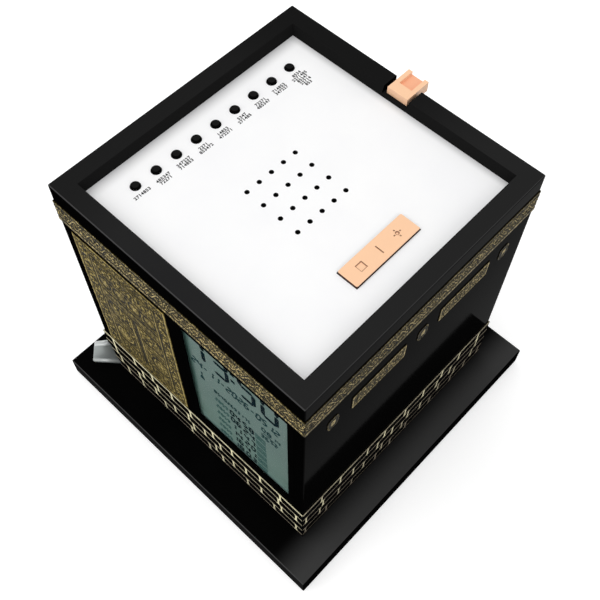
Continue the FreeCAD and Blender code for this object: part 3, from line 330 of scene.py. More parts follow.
slot_look("clear_pane", (60, 66, 64), (52, 58, 56), (0.02, 0.06), 900.0, 0.02, specular=0.001, Alpha=0.03)
slot_look("light_guide", (225, 230, 228), (214, 220, 218), (0.3, 0.45), 1500.0, 0.1)
slot_look("dark_stone", (40, 36, 36), (70, 62, 58), (0.12, 0.3), 900.0, 0.4, broad=320.0)
slot_look("board_green", (38, 120, 72), (30, 100, 60), (0.3, 0.5), 1500.0, 0.2)
slot_look("component_black", 50, (40, 40, 42), (0.5, 0.7), 3000.0, 0.3)
slot_look("plated_steel", (205, 205, 208), (185, 186, 190), (0.25, 0.4), 1600.0, 0.2, stretch=(1, 0.2, 1),
          metal=0.9)
slot_look("spring_steel", (170, 172, 176), (150, 152, 158), (0.25, 0.4), 1600.0, 0.2, metal=0.9)
slot_look("rubber_pad", (45, 45, 46), (36, 36, 38), (0.6, 0.8), 2400.0, 0.5)
slot_look("contact_rubber", (150, 150, 156), (70, 70, 78), (0.5, 0.7), 2000.0, 0.2, broad=600.0,
          stretch=(1, 0.05, 0.05))
slot_look("paper_cone", (70, 66, 62), (52, 50, 48), (0.7, 0.9), 2600.0, 0.6)
slot_look("foam_ring", (60, 60, 62), (42, 42, 44), (0.8, 0.95), 3200.0, 0.8, broad=900.0)
slot_look("copper_coil", (200, 120, 80), (170, 96, 60), (0.25, 0.4), 1500.0, 0.3, stretch=(0.1, 0.1, 4),
          metal=0.9)
slot_look("ferrite", (64, 64, 66), (48, 48, 50), (0.5, 0.7), 2200.0, 0.4)
slot_look("cell_sleeve", (30, 74, 120), (24, 60, 104), (0.2, 0.32), 1500.0, 0.1, broad=60.0)
slot_look("aluminium_can", (190, 190, 194), (170, 170, 176), (0.25, 0.4), 1500.0, 0.2, metal=0.9)

OWN_LOOKS = {
    "body_shell": shell_black, "lcd_bezel": bezel_black, "plinth": plinth_black, "wide_key": rose_key,
    "spout": rose_spout, **{f"button_{number}": button_black for number in range(1, 10)},
}
for part in frame["record"]["subparts"]:
    node = frame["nodes"][part["node"]]
    node.data.materials.clear()
    node.data.materials.append(OWN_LOOKS.get(part["node"], SLOTS[part["material_slot"]]))


# ---------------------------------------------------------------- mesh helpers

def shown(name, data):
    """A new object in the scene."""
    piece = bpy.data.objects.new(name, data)
    bpy.context.collection.objects.link(piece)
    return piece


def settle(piece, material, replaced=(), body=ROOT):
    """Gives a finished piece its material and body, and hides the CAD nodes it stands for."""
    piece.data.materials.append(material)
    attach(piece, body)
    if replaced:
        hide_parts(*replaced)


def mesh_object(name, points, faces, relief=None, smooth=True):
    """A closed mesh that looks outwards; relief has a value for every point."""
    mesh = bpy.data.meshes.new(name)
    mesh.from_pydata([tuple(c * MM for c in p) for p in points], [], faces)
    mesh.update()
    if relief is not None:
        layer = mesh.attributes.new("relief", "FLOAT", "POINT")
        layer.data.foreach_set("value", np.asarray(relief, dtype=np.float32))
    mesh.polygons.foreach_set("use_smooth", [smooth] * len(mesh.polygons))
    work = bmesh.new()
    work.from_mesh(mesh)
    bmesh.ops.recalc_face_normals(work, faces=work.faces)
    work.to_mesh(mesh)
    work.free()
    return shown(name, mesh)


def ring_walls(rings, count):
    """Faces between closed rings that have count points each."""
    faces = []
    for start in range(0, (rings - 1) * count, count):
        for index in range(count):
            here, following = start + index, start + (index + 1) % count
            faces.append((here, following, following + count, here + count))
    return faces


def unit(way):
    return way / np.linalg.norm(way)


def rectangle(left, low, right, high):
    return [(left, low), (right, low), (right, high), (left, high)]


def prism_data(outline, place, low, high, bevel=0.0):
    """Points and faces of a flat shape with an optional small chamfer on its outer side."""
    outline, count = np.array(outline), len(outline)
    rings = [(outline, low), (outline, high - bevel)]
    if bevel:
        inner = []
        for index, here in enumerate(outline):
            before = unit(here - outline[index - 1])
            after = unit(outline[(index + 1) % count] - here)
            left = np.array([-before[1] - after[1], before[0] + after[0]])
            turn = max(0.3, 1 + before @ after)
            inner.append(here + left * bevel / turn)
        rings.append((inner, high))
    points = [place(u, d, v) for ring, d in rings for u, v in ring]
    faces = ring_walls(len(rings), count)
    faces.append(tuple(range(count))[::-1])
    faces.append(tuple(range(len(points) - count, len(points))))
    return points, faces


def gather(name, parts, relief=None):
    """One mesh from many small closed pieces; relief has a value for every point."""
    points, faces = [], []
    for more_points, more_faces in parts:
        start = len(points)
        points.extend(more_points)
        faces.extend(tuple(start + index for index in face) for face in more_faces)
    return mesh_object(name, points, faces, relief, smooth=False)


# ---------------------------------------------------------------- relief ornament

BELT_PROUD, PLATE_PROUD = 0.22, 0.2         # how far the hollows of a relief stand out of the wall
CURTAIN_RIDGE, FINE_RIDGE = 0.25, 0.2       # how far its crests stand out of the hollows
GROUND = 0.5                # the plain level of a relief
BACK = -0.1                 # flat back of a relief, just inside the wall
GROOVE = 0.42               # how far a stroke's own groove reaches past it


class Relief:
    """A height map over a field in millimetres: 0 is the deepest hollow and 1 the crest."""

    def __init__(self, width, height, step, left=0.0, low=0.0):
        self.width, self.height = width, height
        self.left, self.low = left, low
        self.u, self.v = (np.linspace(0, size, max(2, round(size / step)) + 1) for size in (width, height))
        self.step_u, self.step_v = self.u[1], self.v[1]
        self.map = np.full((len(self.v), len(self.u)), GROUND)

    def dab(self, x, y, radius, crest=1.0):
        """A round-topped spot, or with a negative crest a hollow that rises to it."""
        columns, rows = (slice(max(0, int((place - radius) / step)), max(0, int((place + radius) / step) + 2))
                         for place, step in ((x, self.step_u), (y, self.step_v)))
        away = ((self.u[columns] - x) ** 2 + (self.v[rows, None] - y) ** 2) / radius ** 2
        window = self.map[rows, columns]
        if crest < 0:
            np.minimum(window, np.where(away < 1, -crest * away, 9.0), out=window)
        else:
            np.maximum(window, crest * np.sqrt(np.clip(1 - away, 0, 1)), out=window)

    def stroke(self, points, radius, crest=1.0, taper=False, groove=True):
        """A raised line drawn with a round brush in a groove of its own, thinner at its end if it tapers."""
        if groove:
            self.stroke(points, radius + GROOVE, -0.25, taper, False)
        points = [np.asarray(p, dtype=float) for p in points]
        total = sum(np.linalg.norm(b - a) for a, b in zip(points, points[1:])) or 1.0
        gone = 0.0
        for first, second in zip(points, points[1:]):
            size = np.linalg.norm(second - first)
            count = max(1, int(size / (radius * 0.5)))
            for index in range(count):
                part = index / count
                here = first + (second - first) * part
                share = (gone + size * part) / total
                brush = radius * (1 - 0.65 * share) if taper else radius
                self.dab(here[0], here[1], brush, crest)
            gone += size

    def curve(self, x, y, radius, start, stop, brush, crest, shrink=1.0):
        """An arc or spiral round a centre, in degrees."""
        count = max(6, int(abs(stop - start) / 14))
        points = []
        for index in range(count + 1):
            share = index / count
            angle = math.radians(start + (stop - start) * share)
            reach = radius * (1 + (shrink - 1) * share)
            points.append((x + reach * math.cos(angle), y + reach * math.sin(angle)))
        self.stroke(points, brush, crest)

    def leaf(self, x, y, angle, size, brush):
        """A pointed leaf that bends a little."""
        turn = math.radians(angle)
        bend = math.radians(angle + 28)
        middle = (x + size * 0.5 * math.cos(turn), y + size * 0.5 * math.sin(turn))
        tip = (middle[0] + size * 0.5 * math.cos(bend), middle[1] + size * 0.5 * math.sin(bend))
        self.stroke([(x, y), middle, tip], brush, 0.9, taper=True)

    def rosette(self, x, y, radius, petals):
        """A boss in a ring of petals."""
        self.dab(x, y, radius * 0.3)
        for index in range(petals):
            angle = 2 * math.pi * index / petals
            reach = radius * 0.62
            self.dab(x + reach * math.cos(angle), y + reach * math.sin(angle), radius * 0.26, 0.9)

    def scroll(self, x, y, radius, hand, phase, brush):
        """A spiral tendril with leaves along its back."""
        self.curve(x, y, radius, phase, phase + hand * 500, brush, 0.95, 0.18)
        self.dab(x, y, brush * 1.7)
        for index in range(5):
            angle = phase + hand * (30 + 72 * index)
            turn = math.radians(angle)
            self.leaf(x + radius * math.cos(turn), y + radius * math.sin(turn), angle + hand * 35,
                      radius * 0.62, brush * 1.15)

    def frame(self, left, low, right, high, brush, crest):
        self.stroke([*rectangle(left, low, right, high), (left, low)], brush, crest)

    def at(self, x, z):
        """A place on the relief, from its place on the face of the cube."""
        return x - self.left, z - self.low

    def cut(self, points, radius):
        """A dark engraved line through places on the face."""
        self.stroke([self.at(x, z) for x, z in points], radius, -0.3, groove=False)

    def ring(self, x, z, radius, brush):
        """An engraved circle round a place on the face."""
        self.cut([(x + radius * math.cos(a * math.pi / 24), z + radius * math.sin(a * math.pi / 24))
                  for a in range(49)], brush)

    def roughen(self, amount):
        """An uneven ground: soft grains about half a millimetre wide."""
        grains = rng.normal(0.0, 1.0, self.map.shape)
        for axis in (0, 1):
            grains = grains + np.roll(grains, 1, axis) * 0.7 + np.roll(grains, -1, axis) * 0.7
        self.map = np.clip(self.map + grains / grains.std() * amount, 0.0, 1.0)


def relief_piece(name, relief, place, left, low, base=PLATE_PROUD, rise=FINE_RIDGE):
    """A closed plate with the relief on its outer side and a flat back just inside the wall."""
    rows, columns = relief.map.shape
    points = [place(left + u, base + rise * level, low + v)
              for v, line in zip(relief.v, relief.map) for u, level in zip(relief.u, line)]
    index = np.arange(rows * columns).reshape(rows, columns)
    corners = np.stack([index[:-1, :-1], index[:-1, 1:], index[1:, 1:], index[1:, :-1]], axis=-1)
    faces = corners.reshape(-1, 4).tolist()
    rim = [*index[0, :-1], *index[:-1, -1], *index[-1, :0:-1], *index[:0:-1, 0]]
    back = list(range(len(points), len(points) + len(rim)))
    for here in range(len(rim)):
        faces.append((rim[here], rim[here - 1], back[here - 1], back[here]))
    faces.append(back[::-1])
    points += [place(left + relief.u[point % columns], BACK, low + relief.v[point // columns])
               for point in rim]
    return mesh_object(name, points, faces, [*relief.map.ravel(), *[0.0] * len(rim)])


BELT_LOW, BELT_HIGH = span("belt_band", "Z")


def belt_relief():
    """The belt of one face: repeats of a braid of two stems with scrolls and leaves, between plain bands."""
    repeats = 14
    reach = HALF + BELT_PROUD
    size = 2 * reach / repeats
    high = BELT_HIGH - BELT_LOW
    wide = Relief(size * 3, high, 0.24)
    middle = 6.05
    for copy in range(-1, 4):
        start = size * copy
        for place, hand in ((0.25, 1), (0.75, -1)):
            x = start + size * place
            wide.scroll(x, middle - hand * 1.75, 1.05, -hand, 160, 0.3)
            wide.scroll(x + size * 0.22, middle + hand * 1.9, 0.9, hand, 20, 0.28)
            wide.leaf(x - size * 0.2, middle, 60 * hand, 1.9, 0.4)
            wide.rosette(x + size * 0.25, middle + hand * 0.3, 1.0, 5)
        for hand in (-1, 1):
            wave = [(start + size * t / 16, middle + hand * 2.3 * math.sin(2 * math.pi * t / 16))
                    for t in range(17)]
            wide.stroke(wave, 0.3, 0.9)
    repeat = round(size / wide.step_u)
    tile = wide.map[:, repeat:2 * repeat]
    whole = Relief(2 * reach, high, 2 * reach / (repeat * repeats))
    whole.v = wide.v
    whole.map = np.concatenate([tile] * repeats + [tile[:, :1]], axis=1)
    whole.u = np.linspace(0, 2 * reach, whole.map.shape[1])
    whole.roughen(0.14)
    for low, top, level in ((0.0, 0.6, 0.25), (0.6, 2.1, 0.62), (2.1, 2.9, 0.05), (9.2, 9.9, 0.1),
                            (9.9, high, 0.52)):
        whole.map[(whole.v >= low) & (whole.v <= top)] = level
    whole.roughen(0.05)
    return whole


def build_belt():
    relief = belt_relief()
    reach = HALF + BELT_PROUD
    for face, place in FACES.items():
        front = face == "front"
        piece = relief_piece(f"belt_{face}", relief, place, -reach, BELT_LOW, BELT_PROUD)
        # the sides take the copy of the gold that is painted darker as shade
        settle(piece, gold_belt if front else gold_shaded_side, ["belt_band"] if front else [])


SLIT = -29.0                # middle of the curtain's slit


def curtain_border(r):
    """Scrolls that turn left and right by turns."""
    for x in (-50.2, -9.0):
        for step in range(15):
            u, v = r.at(x, 46.6 + step * 5.2)
            hand = 1 if step % 2 else -1
            r.scroll(u + hand * 0.7, v, 1.7, hand, 90 * hand, 0.42)
            r.cut([(x - hand * 1.9, 44.2 + step * 5.2), (x + hand * 0.6, 45.4 + step * 5.2)], 0.62)
            r.dab(u - hand * 1.6, v + 1.9, 0.9)
    for step in range(8):
        hand = 1 if step % 2 else -1
        x = -46.9 + step * 4.9
        r.scroll(x - r.left, 2.7, 1.5, hand, 0, 0.4)
        r.cut([(x + 1.9, 120.2 + hand * 0.7), (x + 2.9, 118.6)], 0.62)
        r.scroll(x - r.left, r.height - 3.4, 1.7, -hand, 180, 0.4)


def curtain_head(r):
    """Tendrils on both sides of the middle, ringed rosettes, and plain bars round a band of spots."""
    for side in (-1, 1):
        for step in range(4):
            x = -29.6 + side * (3.2 + step * 3.9)
            u, v = r.at(x, 111.6 + (0.8 if step % 2 else -0.9))
            r.scroll(u, v, 2.0, side, 40 * step, 0.5)
            r.cut([(x + side * 1.9, 114.0), (x + side * 1.2, 110.2)], 0.55)
            r.dab(u + side * 1.9, v - 2.4, 0.8)
    level = 101.8
    for x in (-42.2, -33.9, -25.4, -17.1):
        u, v = r.at(x, level)
        r.rosette(u, v, 2.7, 6)
        r.dab(u, v, 1.2)
        r.ring(x, level, 3.3, 0.5)
        for side in (-1, 1):
            r.cut([(x + side * 4.1, 105.8), (x + side * 3.6, 104.2)], 0.6)
            r.leaf(u + 4.2 * side, v - 3.6, 90, 3.0, 0.6)
    for z, brush in ((115.6, 0.55), (107.4, 0.45), (95.0, 0.8), (97.2, 0.35), (90.6, 0.35)):
        r.cut([(-44.4, z), (-14.0, z)], brush)
    for step in range(13):
        u, v = r.at(-43.4 + step * 2.4, 92.9)
        r.dab(u, v, 0.8, 0.8)


def lobed_field(r):
    """A field with a lobed edge, full of scrolls."""
    field = 82.3
    lobes = []
    for t in range(73):
        angle = 2 * math.pi * t / 72
        edge = 1 + 0.05 * math.cos(8 * angle)
        across, up = (math.copysign(abs(c) ** 0.5, c) for c in (math.cos(angle), math.sin(angle)))
        lobes.append((SLIT + 15.4 * edge * across, field + 6.1 * edge * up))
    for side in (-1, 1):
        for dx, dz in ((3.7, 2.2), (8.0, -1.9), (12.0, 1.9), (3.6, -2.9), (7.8, 3.0)):
            u, v = r.at(SLIT + side * dx, field + dz)
            r.scroll(u, v, 1.9, side, 60 + 120 * dx, 0.55)
            r.dab(u, v, 0.9)
            r.cut([(SLIT + side * (dx + 2.0), 83.8 + dz), (SLIT + side * (dx + 1.6), 82.0 + dz)], 0.5)
    r.cut(lobes, 0.7)


def curtain_roundels(r):
    """Bars and a roundel beside the slit, on both sides of it."""
    roundel = 63.4
    for side in (-1, 1):
        for z in (73.6, 71.2):
            r.cut([(SLIT + side * 4.2, z), (SLIT + side * 15.0, z)], 0.4)
        x = SLIT + 0.4 + side * 11.0
        u, v = r.at(x, roundel)
        r.rosette(u, v, 3.6, 8)
        r.dab(u, v, 1.5)
        r.curve(u, v, 4.4, 0, 360, 0.5, 0.95)
        r.ring(x, roundel, 5.6, 0.62)
        for dx, dz, turn in ((-5.6, 5.8, -40), (5.6, 5.8, 220), (-5.6, -5.4, 40), (5.6, -5.4, 140)):
            r.leaf(u + dx, v + dz, turn + 180, 3.0, 0.7)
            r.cut([(x + dx * 0.86, roundel + dz * 0.98), (x + dx * 0.98, roundel + dz * 0.8)], 0.5)


def curtain_foot(r):
    """Edges of the slit, leaves and short strokes at its foot, and strokes above and below the bars."""
    for x in (-31.4, -27.2):
        r.stroke([r.at(x, 86.0), r.at(x, 53.2)], 0.5, 0.95)
    r.cut([(-29.3, 88.0), (-29.3, 52.6)], 0.8)
    r.cut([(-44.0, 56.6), (-34.0, 55.4), (-24.6, 55.4), (-14.6, 56.6)], 0.7)
    for step in range(10):
        u, v = r.at(-42.4 + step * 2.95, 50.6)
        r.leaf(u, v, 90 if step % 2 else 60, 3.0, 0.5)
        r.cut([(-44.0 + step * 3.1, 53.6), (-43.4 + step * 3.1, 50.4)], 0.55)
        r.cut([(-46.0 + step * 3.6, 46.4), (-44.8 + step * 3.6, 43.9)], 0.6)
    for x in (-37.6, -33.4, -25.0, -20.6):
        for z in (77.6, 66.8):
            r.cut([(x, z + 1.2), (x + 0.9, z - 1.4)], 0.55)


def curtain_relief():
    """Door curtain: the parts above, drawn in that order, inside plain frame lines."""
    left, right = span("door_curtain", "X")
    low, top = span("door_curtain", "Z")
    high = top - 0.2        # a little short of the solid plate
    r = Relief(right - left, high - low, 0.3, left, low)
    for draw in (curtain_border, curtain_head, lobed_field, curtain_roundels, curtain_foot):
        draw(r)
    r.frame(0.7, 0.7, r.width - 0.7, r.height - 0.7, 0.7, 0.84)
    r.frame(8.6, 5.0, r.width - 7.6, r.height - 7.0, 0.5, 0.82)
    r.cut([(-46.9, 47.0), (-46.9, 116.6), (-11.9, 116.6), (-11.9, 47.0), (-46.9, 47.0)], 0.5)
    r.roughen(0.1)
    return r


def build_curtain():
    relief = curtain_relief()
    piece = relief_piece("curtain_relief", relief, FACES["front"], relief.left, relief.low,
                         rise=CURTAIN_RIDGE)
    settle(piece, gold_plate, ["door_curtain"])


PLATE_SIZE = (27.7, 8.8)
PLATE_LEVEL = middle_of("right_cartouches", "Z")    # of ovals too
OVAL_HALF = (3.3, span("right_cartouches", "Z")[1] - PLATE_LEVEL)
OVAL_LAST = span("right_cartouches", "Y")[1] - OVAL_HALF[0]
OVAL_CENTRES = (-OVAL_LAST, 0.0, OVAL_LAST)
PLATE_CENTRES = (-OVAL_LAST / 2, OVAL_LAST / 2)


def plate_relief(width, height):
    """Ornament plate: a plain rim and corner rosettes round a row of scrolls."""
    r = Relief(width, height, 0.25)
    middle = height / 2
    r.frame(0.5, 0.5, width - 0.5, height - 0.5, 0.42, 0.9)
    for step in range(8):
        hand = 1 if step % 2 else -1
        x = 3.2 + step * (width - 6.4) / 7
        r.scroll(x, middle + hand * 1.3, 1.5, hand, 90, 0.28)
        r.leaf(x, middle - hand * 1.4, -70 * hand, 1.9, 0.42)
    for x in (1.4, width - 1.4):
        for y in (1.4, height - 1.4):
            r.rosette(x, y, 1.0, 4)
    r.roughen(0.1)
    return r


def oval_relief():
    """Boss and petals of an oval, drawn on a square that is later bent to the oval."""
    r = Relief(2.0, 2.0, 0.08)
    r.dab(1.0, 1.0, 0.85, 0.7)
    r.rosette(1.0, 1.0, 0.7, 8)
    r.frame(0.1, 0.1, 1.9, 1.9, 0.1, 0.5)
    r.roughen(0.12)
    return r


def oval_place(place, centre):
    """Bends the square of an oval's relief to a pointed oval on a face of the cube."""
    lean = math.pi / 4

    def bent(u, d, v):
        x, y = u - 1.0, v - 1.0
        side = max(abs(x), abs(y))
        away = math.hypot(x, y) or 1.0
        share = side * (0.35 + 0.65 * side / away) / away
        across = (x * math.cos(lean) - y * math.sin(lean)) * share
        up = (x * math.sin(lean) + y * math.cos(lean)) * share
        return place(centre + across * OVAL_HALF[0], d, PLATE_LEVEL + up * OVAL_HALF[1])

    return bent


def build_cartouches():
    width, height = PLATE_SIZE
    relief = plate_relief(width, height)
    for face in ("right", "left", "back"):
        place = FACES[face]
        for number, centre in enumerate(PLATE_CENTRES, 1):
            piece = relief_piece(f"{face}_plate_{number}", relief, place, centre - width / 2,
                                 PLATE_LEVEL - height / 2)
            settle(piece, gold_shaded_side, [f"{face}_cartouches"] if number == 1 else [])
        for number, centre in enumerate(OVAL_CENTRES, 1):
            piece = relief_piece(f"{face}_lozenge_{number}", oval_relief(), oval_place(place, centre), 0, 0)
            settle(piece, gold_shaded_side)


# ---------------------------------------------------------------- brick skirt

# heights of the gold beds, and places of the upright joints in each course, both from the top down
COURSES = (40.5, 34.0, 27.2, 20.5, 14.0)
FRONT_JOINTS = (
    (-54.0, -40.4, -28.8, -16.5, -4.7, 8.9, 20.2, 36.6, 47.9),
    (-54.0, -36.1, -26.5, -6.9, 3.3, 12.8, 28.1, 46.8, 56.8),
    (-52.3, -40.0, -29.0, -16.5, -4.4, 9.5, 20.2, 36.8, 48.5),
    (-48.8, -39.0, -23.8, -6.5, 4.8, 13.1, 28.3, 44.1, 56.8),
)
SIDE_JOINTS = (
    (-49.2, -38.0, -21.3, -10.5, 2.7, 14.8, 27.5, 39.3, 52.7),
    (-58.3, -48.2, -29.7, -14.3, -4.8, 5.6, 25.2, 34.5, 53.1),
    (-50.0, -38.4, -22.6, -10.9, 2.4, 15.0, 27.7, 38.9, 51.4),
    (-58.6, -45.8, -29.8, -14.3, -4.6, 6.0, 22.7, 37.8, 47.7, 58.0),
)
SKIRT_PROUD = 0.4
SKIRT_PAST = 0.5            # how far the gold beds run past the cube's corners
BED = 0.2                   # half the height of a gold bed
SHORT_BRICK = 2.6           # what is no wider than this shows no brick of its own


def rounded(left, low, right, high, radius, turns):
    """Corner points of a rectangle with rounded corners, counter-clockwise."""
    outline = []
    corners = (((right - radius, low + radius), -90), ((right - radius, high - radius), 0),
               ((left + radius, high - radius), 90), ((left + radius, low + radius), 180))
    for (x, y), start in corners:
        for step in range(turns + 1):
            angle = math.radians(start + 90 * step / turns)
            outline.append((x + radius * math.cos(angle), y + radius * math.sin(angle)))
    return outline


def build_skirt():
    """Black bricks in four courses, with thin gold beds and gold joints that widen at their ends."""
    reach = HALF + SKIRT_PROUD
    end = HALF + SKIRT_PAST
    widen = 1.1
    gold_back, bed_face, joint_face = 0.2, 0.5, 0.54
    for face, place in FACES.items():
        front = face == "front"
        rows = FRONT_JOINTS if front else SIDE_JOINTS
        # painted light: the gold beds and joints are painted darker course by course towards the foot, and
        # darker on the sides than on the front, through the values they give the gold's relief colour
        bed_lights = (0.86, 0.72, 0.7, 0.64, 0.52) if front else (0.62, 0.52, 0.46, 0.38, 0.26)
        lights = (1.0, 0.97, 0.92, 0.85) if front else (0.82, 0.76, 0.66, 0.5)
        waist, flare = (0.42, 0.95) if front else (0.34, 0.8)
        base = rectangle(-reach, PLINTH_TOP, reach, COURSES[0])
        bricks = [prism_data(base, place, -0.05, SKIRT_PROUD - 0.05)]
        joints, shades = [], []
        for level, light in zip(COURSES, bed_lights):
            joints.append(prism_data(rectangle(-end, level - BED, end, level + BED), place, gold_back,
                                     bed_face))
            shades += [light] * len(joints[-1][0])
        for centres, high, low, light in zip(rows, COURSES, COURSES[1:], lights):
            for x in centres:
                outline = [(x - flare, low), (x + flare, low), (x + waist, low + widen),
                           (x + waist, high - widen), (x + flare, high), (x - flare, high),
                           (x - waist, high - widen), (x - waist, low + widen)]
                joints.append(prism_data(outline, place, gold_back, joint_face, 0.05))
                shades += [light] * len(joints[-1][0])
            edges = [-reach, *centres, reach]
            for first, second in zip(edges, edges[1:]):
                if second - first > SHORT_BRICK:
                    pillow = rounded(first + 0.5, low + 0.3, second - 0.5, high - 0.3, 1.1, 4)
                    bricks.append(prism_data(pillow, place, SKIRT_PROUD - 0.2, SKIRT_PROUD + 0.03, 0.08))
        settle(gather(f"bricks_{face}", bricks), brick_black)
        settle(gather(f"joints_{face}", joints, shades), gold_joint,
               ["brick_skirt"] if front else [])


# ---------------------------------------------------------------- silver casing

def fillet(corners, radius, steps=4):
    """Rounds every corner of a closed outline."""
    outline = []
    corners = np.array(corners)
    for index, here in enumerate(corners):
        back, onward = corners[index - 1] - here, corners[(index + 1) % len(corners)] - here
        reach = min(radius, 0.45 * np.linalg.norm(back), 0.45 * np.linalg.norm(onward))
        start = here + unit(back) * reach
        end = here + unit(onward) * reach
        for step in range(steps + 1):
            share = step / steps
            outline.append(tuple((1 - share) ** 2 * start + 2 * share * (1 - share) * here
                                 + share ** 2 * end))
    return outline


def build_casing():
    """Silver casing on the front left corner: softened edges and an oval seat for the stone."""
    low, high = span("corner_casing", "Z")
    bottom, height = low - PLINTH_TOP, high - low
    foot, waist, crown = 3.9, 2.8, 1.5
    reach, taper, lean = 8.4, 0.82, 3.5
    stone_u, stone_v = 1.65, 4.75
    middle = bottom + height / 2
    half = [(foot, bottom), (foot, bottom + 1.3), (waist, bottom + 2.6), (crown, bottom + height)]
    corners = half + [(-across, level) for across, level in reversed(half)]
    outline = fillet(corners, 0.9)
    count = len(outline)
    root = math.sqrt(0.5)

    def spot(distance, across, level):
        return (-HALF - distance * root + across * root, -HALF - distance * root - across * root,
                PLINTH_TOP + level)

    def ring(distance, scale):
        points = []
        for across, level in outline:
            u, v = across * scale, middle + (level - middle) * scale
            points.append(spot(distance + lean * (middle - v) / height * distance / reach, u, v))
        return points

    def oval(inset):
        slope = math.atan2(lean, height)
        points = []
        for across, level in outline:
            angle = math.atan2(level - middle, across)
            size = stone_u / math.hypot(math.cos(angle), math.sin(angle) * stone_u / stone_v)
            u, v = size * math.cos(angle), size * math.sin(angle)
            distance = reach - v * math.sin(slope) - inset * math.cos(slope)
            points.append(spot(distance, u, middle + v * math.cos(slope) - inset * math.sin(slope)))
        return points

    seat = [spot(-abs(across) - 0.02, across, level) for across, level in outline]
    softened = ((0.9, 0.018), (0.45, -0.01), (0.12, -0.06), (0.0, -0.12))
    rings = [seat, *(ring(reach - before, taper + wider) for before, wider in softened),
             *(oval(inset) for inset in (0.0, 0.15, 2.4))]
    points = [point for one in rings for point in one]
    points += [spot(0.0, 0.0, bottom), spot(0.0, 0.0, bottom + height)]
    low_hub, high_hub = len(points) - 2, len(points) - 1
    faces = ring_walls(len(rings), count)
    faces.append(tuple(range((len(rings) - 1) * count, len(rings) * count)))
    # the seat is cut in two by the cube's corner, which runs between the hubs
    right = [index for index in range(count) if outline[index][0] > 0]
    left = [index for index in range(count) if outline[index][0] <= 0]
    faces.append((low_hub, *right, high_hub))
    faces.append((high_hub, *left, low_hub))
    for hub, before, after in ((low_hub, left[-1], right[0]), (high_hub, right[-1], left[0])):
        faces.append((hub, after, count + after, count + before, before))
        faces.remove((before, after, count + after, count + before))
    piece = mesh_object("casing", points, faces)
    settle(piece, silver, ["corner_casing"])


# ---------------------------------------------------------------- display

INK = 0.05                  # thickness of the figures
# the bars of each figure: a at the top, then clockwise to f, and g across the middle
SEGMENTS = {
    "0": "abcdef", "1": "bc", "2": "abged", "3": "abgcd", "4": "fgbc", "5": "afgcd", "6": "afgedc",
    "7": "abc", "8": "abcdefg", "9": "abcdfg", "-": "g",
}


def on_display(u, d, v):
    return (u, -(DISPLAY_FACE + d), v)


def bar(first, second, half):
    """A pointed bar between two points, a little short of both."""
    way = unit(second - first)
    first, second = first + way * half * 0.12, second - way * half * 0.12
    side = np.array([-way[1], way[0]]) * half
    a, b = first + way * half, second - way * half
    return first, a - side, b - side, second, b + side, a + side


def digit(character, left, low, width, height, half, slant=0.06, share=0.5):
    """Bars of a seven-part figure as flat prisms; share is the height of its middle bar."""
    foot, waist, head = (((left, level), (left + width, level))
                         for level in (low, low + height * share, low + height))
    ends = {
        "a": head, "b": (waist[1], head[1]), "c": (foot[1], waist[1]), "d": foot,
        "e": (foot[0], waist[0]), "f": (waist[0], head[0]), "g": waist,
    }
    parts = []
    for name in SEGMENTS[character]:
        outline = bar(*np.array(ends[name]), half)
        parts.append(prism_data([(x + (y - low) * slant, y) for x, y in outline], on_display, 0.0, INK))
    return parts


def block(left, low, right, high):
    return prism_data(rectangle(left, low, right, high), on_display, 0.0, INK)


def figures(text, left, low, width, height, half, pitch, slant=0.06):
    """A row of figures, with the pitch from one to the next."""
    parts = []
    for step, character in enumerate(text):
        parts += digit(character, left + step * pitch, low, width, height, half, slant)
    return parts


def build_display():
    """Made-up figures: hours and minutes, a date, small signs and a list of times."""
    dark, soft, faint = [], [], []
    for character, x in zip("1350", (4.3, 16.0, 28.9, 39.7)):
        dark += digit(character, x, 107.2, 6.5, 15.0, 1.0, 0.0, 0.547)
    for z in (111.4, 116.9):
        dark.append(block(24.5, z, 26.4, z + 1.8))
    soft += figures("24-11-2026-0512", 3.4, 98.4, 1.9, 4.6, 0.5, 2.95, 0.14)
    # a bell at the left, and four small numbers round a stroke at the right
    soft.append(block(6.6, 88.6, 8.9, 89.6))
    soft.append(prism_data([(6.7, 89.8), (8.8, 89.8), (8.2, 91.8), (7.3, 91.8)], on_display, 0, INK))
    soft.append(block(7.4, 92.6, 8.3, 94.6))
    soft += figures("08", 38.4, 91.0, 1.6, 3.1, 0.45, 2.7)
    soft += figures("14", 43.9, 91.4, 1.2, 2.6, 0.4, 2.1)
    soft += figures("36", 37.6, 84.4, 1.4, 3.0, 0.45, 2.4)
    soft += figures("52", 42.6, 86.0, 1.2, 2.6, 0.4, 2.0)
    soft.append(block(39.0, 89.0, 45.8, 89.6))
    soft += figures("85402693175", 13.6, 85.9, 1.0, 2.3, 0.34, 1.74, 0.1)
    # six rows of times, each with a number before it and stripes behind it
    for step, (hours, minutes) in enumerate((("04", "58"), ("06", "24"), ("11", "47"), ("14", "20"),
                                             ("16", "41"), ("18", "03"))):
        z = 77.8 - step * 6.17
        dark += figures(hours, 21.4, z, 1.7, 4.1, 0.52, 2.9)
        dark += figures(minutes, 28.1, z, 1.9, 4.1, 0.55, 3.3)
        dark += [block(26.0, z + rise, 26.8, z + rise + 0.8) for rise in (0.9, 2.6)]
        faint += figures("2859", 13.4, z + 0.7, 1.15, 2.6, 0.42, 1.75)
        faint += [block(34.4, z - 0.7 + line * 1.05, 39.8, z - 0.15 + line * 1.05) for line in range(5)]
    settle(gather("display_figures", dark), ink)
    settle(gather("display_signs", soft), tint)
    settle(gather("display_shades", faint), haze)


# ---------------------------------------------------------------- labels on the roof panel

LABEL_COUNTS = ((7,), (6, 5), (6, 6), (4, 6), (5, 6), (4, 6), (5, 6), (6, 6), (4, 7, 5, 5, 3))


